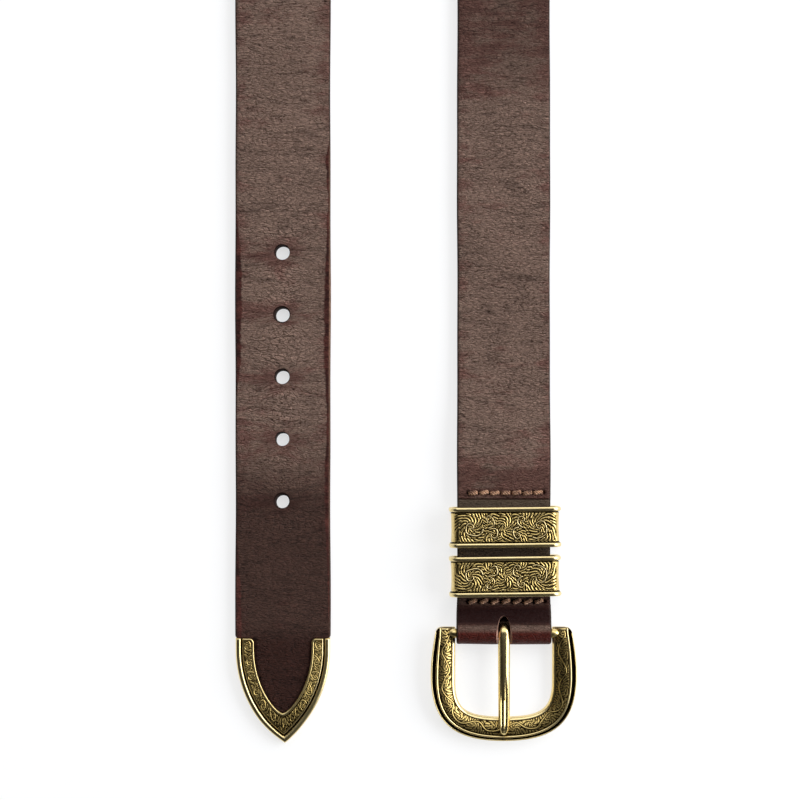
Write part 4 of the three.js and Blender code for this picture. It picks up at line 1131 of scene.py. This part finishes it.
def loop_outline(half, low, high, corner):
    """Matching points of a rounded loop in X and Z, from its top left corner clockwise."""
    small, steps = KEEPER["low_corner"], LOOP_STEPS
    bend = np.radians(np.linspace(90, 0, steps["corner"], endpoint=False))
    low_bend = np.radians(np.linspace(0, -90, steps["low_corner"], endpoint=False))
    top_x = np.linspace(-half + corner, half - corner, steps["top"], endpoint=False)
    side_x = np.concatenate([
        half - corner + corner * np.cos(bend),
        np.full(steps["side"], half),
        half - small + small * np.cos(low_bend),
    ])
    side_z = np.concatenate([
        high - corner + corner * np.sin(bend),
        np.linspace(high - corner, low + small, steps["side"], endpoint=False),
        low + small + small * np.sin(low_bend),
    ])
    bottom_x = np.linspace(half - small, -half + small, steps["bottom"], endpoint=False)
    back_x, back_z = -np.r_[side_x[1:], half - small][::-1], np.r_[side_z[1:], low][::-1]
    x = np.concatenate([top_x, side_x, bottom_x, back_x])
    z = np.concatenate([np.full(len(top_x), high), side_z, np.full(len(bottom_x), low), back_z])
    return np.stack([x, z], 1)


def keeper_profile():
    """Round the wall of the loop, over the outside and back through the passage: place along the
    belt, share of the rim, share of the passage and polish, with a mask of the panel."""
    end, rim = KEEPER["long"] / 2, KEEPER_RIM["wide"]
    shoulder = end - rim
    bead = np.array([
        (end - rim / 2 + rim / 2 * np.cos(angle), np.sin(angle), 0, 0.1 if angle > 2.75 else 1.0)
        for angle in np.radians(np.linspace(-12, 192, 15))
    ])
    dips = ((0.05, 0.6), (0.25, 0.8), (0.48, 0.6))
    groove = np.array([(shoulder - off, -deep, 0, 0) for off, deep in dips])
    panel_y = np.arange(shoulder - 0.58, -(shoulder - 0.58), -0.13)
    panel = np.column_stack([panel_y, np.zeros((len(panel_y), 3))])
    lip = np.array([(end - 0.15, 0, 0.5, 0.8), (end - 0.25, 0, 0.9, 0.6), (end - 0.9, 0, 1, 0.3)])
    before, other_end = np.concatenate([bead, groove]), (-1, 1, 1, 1)
    profile = np.concatenate([before, panel, before[::-1] * other_end, lip * other_end, lip[::-1]])
    on_panel = np.zeros((len(profile), 1), bool)
    on_panel[len(before):len(before) + len(panel)] = True
    return profile, on_panel


def keeper_piece(name, lean, flip):
    """The wall's profile swept round the loop. The scroll stands on the panel's upper side."""
    middle = sum(np.array(corner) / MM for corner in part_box(name)) / 2
    half, height, corner = KEEPER["half"], KEEPER["height"], KEEPER["corner"]
    top_step = KEEPER_RIM["proud_top"]
    rim_outer = loop_outline(half, 0.0, height, corner)
    body = (half - KEEPER_RIM["proud"], KEEPER_RIM["proud_below"], height - top_step, corner - top_step)
    body_outer = loop_outline(*body)
    passage = loop_outline(PASSAGE["half"], PASSAGE["floor"], PASSAGE["top"], PASSAGE["corner"])
    profile, on_panel = keeper_profile()
    y, share, into, polish = (column[:, None] for column in profile.T)
    outward = body_outer - passage
    outward = outward / np.linalg.norm(outward, axis=1)[:, None]
    points = body_outer + (rim_outer - body_outer) * np.clip(share, 0, 1)[..., None]
    points = points + (passage - body_outer) * into[..., None]
    points = points + outward * (0.5 * np.clip(share, None, 0))[..., None]
    shoulder = KEEPER["long"] / 2 - KEEPER_RIM["wide"]
    waist = KEEPER["waist"] * on_panel * (1 - (y / shoulder) ** 2)
    points[..., 0] -= np.sign(points[..., 0]) * waist * smooth((np.abs(points[..., 0]) - 18) / 3)
    x = points[..., 0]
    plane_y = np.broadcast_to(y, x.shape)
    eyes = list(KEEPER_EYES) + mirrored(KEEPER_EYES) + [(0, 0.2, 0.9, 1, 0, 0, 0)]
    ornament = scroll(x, plane_y * flip, eyes, 1.15, 1.35, 0.36)
    from_side = np.minimum(PANEL["right"] - x, x - PANEL["left"])
    engraved = smooth((shoulder - 0.6 - np.abs(y)) / 0.25) * smooth(from_side / 0.5)
    engraved = engraved * on_panel * (points[..., 1] > height - 3.0)
    raised = ornament * engraved
    points = points + outward * (0.5 * (raised - 0.5 * engraved))[..., None]
    smooth_end = np.where(on_panel, 1 - engraved, 0)
    shine = np.maximum(np.maximum(polish, smooth(raised * 1.1)), 0.86 * smooth_end)
    cos, sin = np.cos(np.radians(lean)), np.sin(np.radians(lean))
    lying = np.stack([middle[0] + x * cos - y * sin, middle[1] + x * sin + y * cos, points[..., 1]], -1)
    place = np.stack([plane_y, x, points[..., 1]], -1)
    return lying, ring_faces(*x.shape), {"place": place.reshape(-1, 3), "shine": shine.ravel()}


def ring_faces(rows, columns):
    """Quads of a grid that closes on itself both ways."""
    ring, row = np.arange(columns), np.arange(rows)[:, None] * columns
    after, next_row = np.roll(ring, -1), np.roll(row, -1, 0)
    return np.stack([row + ring, row + after, next_row + after, next_row + ring], -1).reshape(-1, 4).tolist()


for keeper_plan in KEEPERS:
    points, faces, fields = keeper_piece(**keeper_plan)
    keeper = make_piece(keeper_plan["name"] + "_cast", points, faces, [brass], fields)
    mark_sharp(keeper.data, 62)
    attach(keeper, keeper_plan["name"])
    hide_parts(keeper_plan["name"])

# Thread. Thick waxed reddish brown thread of three twisted strands holds the fold down in two
# rows of seven stitches. Each stitch comes up through one needle hole and goes down the next.
THREAD = {"length": 3.9, "strand": 0.42, "off_middle": 0.42, "twist": 0.66}


def stitch(middle, slant, grow):
    """Three strands that wind round one short bowed line."""
    t = np.linspace(-0.5, 0.5, 19)
    bow = 0.55 * (1 - (2 * t) ** 4) - 0.75 * np.clip(np.abs(2 * t) - 0.72, 0, 1) / 0.28
    line = np.stack([t * THREAD["length"] * grow, 0 * t, bow], 1)
    fat = THREAD["strand"] * (1 - 0.35 * np.abs(2 * t) ** 3)
    turn = np.linspace(0, 2 * np.pi, 11)[:-1]
    circle = np.stack([0 * turn, np.cos(turn), np.sin(turn)], 1)
    cos, sin = np.cos(np.radians(slant)), np.sin(np.radians(slant))
    slanted = np.array([(cos, sin, 0), (-sin, cos, 0), (0, 0, 1)])
    strands = []
    for k in range(3):
        wind = 2 * np.pi * (k / 3 + t * THREAD["length"] * THREAD["twist"] / 2)
        centre = line + THREAD["off_middle"] * np.stack([0 * t, np.cos(wind) * 1.15, np.sin(wind) * 0.7], 1)
        strands.append((centre[:, None] + fat[:, None, None] * circle) @ slanted + middle)
    return strands


def thread_paint():
    paint = Paint(bpy.data.materials.new("waxed_thread"))
    place = paint.field("place", "Vector")
    fibres = paint.noise(paint.stretched(place, (1.0, 6.0, 1.0)), 2.0, 3, 0.6)
    shade = paint.noise(place, 0.6, 2)
    lit = paint.step(fibres * 0.55 + shade * 0.45, 0.38, 0.62)
    colour = paint.mix((0.10, 0.038, 0.024, 1), (0.72, 0.42, 0.26, 1), lit)
    return paint.finish(Base_Color=colour, Roughness=0.5, Normal=paint.bump(fibres, 0.00008, 0.8))


waxed_thread = thread_paint()
for row in STITCH_ROWS:
    surface = float(np.interp(row["up"], *np.array(CLIMB)[::-1, :2].T))
    strands, places = [], []
    for k in range(STITCHES):
        x = STITCH_X + (k - (STITCHES - 1) / 2) * row["pitch"]
        sway = 0.12 * np.sin(2.4 * k + row["up"])
        middle = np.array([x, row["up"] + APEX_Y + sway, surface - 0.1])
        for strand in stitch(middle, row["slant"] + 4 * np.sin(1.7 * k), 1 + 0.05 * np.sin(3.1 * k)):
            strands.append((strand, tube_faces(*strand.shape[:2])))
            places.append(strand.reshape(-1, 3) + 7.3 * k)
    fields = {"place": np.concatenate(places)}
    thread = make_piece(row["name"], *joined(strands), [waxed_thread], fields)
    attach(thread, "strap")

# The picture. A white floor that glows a little, a broad soft light on the right and weaker ones
# behind and above, and a camera straight overhead at a height of about a metre.
FLOOR_HALF = 6000
CAMERA_HEIGHT = 1.1
PHOTO_WIDTH = 0.3213
SENSOR = 36


def floor_paint():
    """White paper. A painted shadow makes it dark beneath the prong's slot, and a little less bright beneath
    the row of punched holes, where the strap keeps the light off."""
    paint = Paint(bpy.data.materials.new("white_floor"))
    ground = paint.node("TexCoord", {}, {}, "Object")
    paper = paint.mix((0.345, 0.352, 0.366, 1), (0.360, 0.368, 0.382, 1), paint.noise(ground, 40, 3))
    slot = (BUCKLE_X * MM, (46.5 + APEX_Y) * MM, 0)
    open_air = paint.step(paint.distance(ground, slot), 0.0035, 0.0062)
    from_holes = paint.distance(paint.stretched(ground, (1, 0, 0)), (TIP_X * MM, 0, 0))
    ahead = paint.part_along(ground, (0, 1, 0))
    tip_end, twist_end = (APEX_Y + 60) * MM, (APEX_Y + TWIST_START) * MM
    below_strap = paint.step(ahead, tip_end, tip_end + 0.02)
    below_strap = below_strap * (1.0 - paint.step(ahead, twist_end - 0.04, twist_end))
    under = (1.0 - paint.step(from_holes, 0.005, 0.012)) * below_strap
    # Painted shadow: less glow under the holes, and no glow and dark paper under the slot.
    light = paint.mix((0, 0, 0, 1), (1, 1, 1, 1), open_air - under * 0.12)
    colour = paint.mix((0.05, 0.02, 0.014, 1), paper, open_air)
    glow = {"Emission Color": light, "Emission Strength": 0.745}
    return paint.finish(Base_Color=colour, Roughness=0.9, Specular_IOR_Level=0.2, **glow)


corners = np.linspace(-FLOOR_HALF, FLOOR_HALF, 3)
floor_points = [(x, y, 0) for y in corners for x in corners]
floor_faces = [[0, 1, 4, 3], [1, 2, 5, 4], [3, 4, 7, 6], [4, 5, 8, 7]]
floor = make_piece("floor", floor_points, floor_faces, [floor_paint()])

camera_data = bpy.data.cameras.new("camera")
camera_data.sensor_width = SENSOR
camera_data.lens = SENSOR * CAMERA_HEIGHT / PHOTO_WIDTH
camera = bpy.data.objects.new("camera", camera_data)
camera.location = (-0.0024, -0.1275, CAMERA_HEIGHT)
bpy.context.scene.collection.objects.link(camera)
bpy.context.scene.camera = camera


def soft_light(name, place, target, width, height, watts):
    data = bpy.data.lights.new(name, "AREA")
    data.shape, data.size, data.size_y, data.energy = "RECTANGLE", width, height, watts
    light = bpy.data.objects.new(name, data)
    light.location = place
    aim = np.array(place) - np.array(target)
    yaw = np.arctan2(aim[1], aim[0]) + np.pi / 2
    light.rotation_euler = (np.arctan2(np.hypot(aim[0], aim[1]), aim[2]), 0, yaw)
    bpy.context.scene.collection.objects.link(light)


soft_light("key", (2.244, 0.275, 1.326), (0, -0.15, 0), 3.06, 1.7, 82)
soft_light("top", (0.0, 1.89, 1.87), (0, -0.15, 0), 3.23, 2.72, 40)
soft_light("ceiling", (0.1, 0.1, 2.9), (0, -0.1, 0), 2.2, 2.2, 0.5)

sky = Paint(bpy.data.worlds.new("studio"), "Background")
towards = sky.node("TexCoord", {}, {}, "Generated")
forward, upward = (sky.node("SeparateXYZ", {}, {0: towards}, axis) for axis in "YZ")
horizon = sky.ramp(upward, 0.10, 0.42, 0.95, 0.016)
front = sky.ramp(forward, -0.9, -0.2, 0.35, 1.0)
bpy.context.scene.world = sky.finish(Color=(1.0, 0.99, 0.975, 1), Strength=horizon * front)
bpy.context.scene.view_settings.view_transform = "Standard"
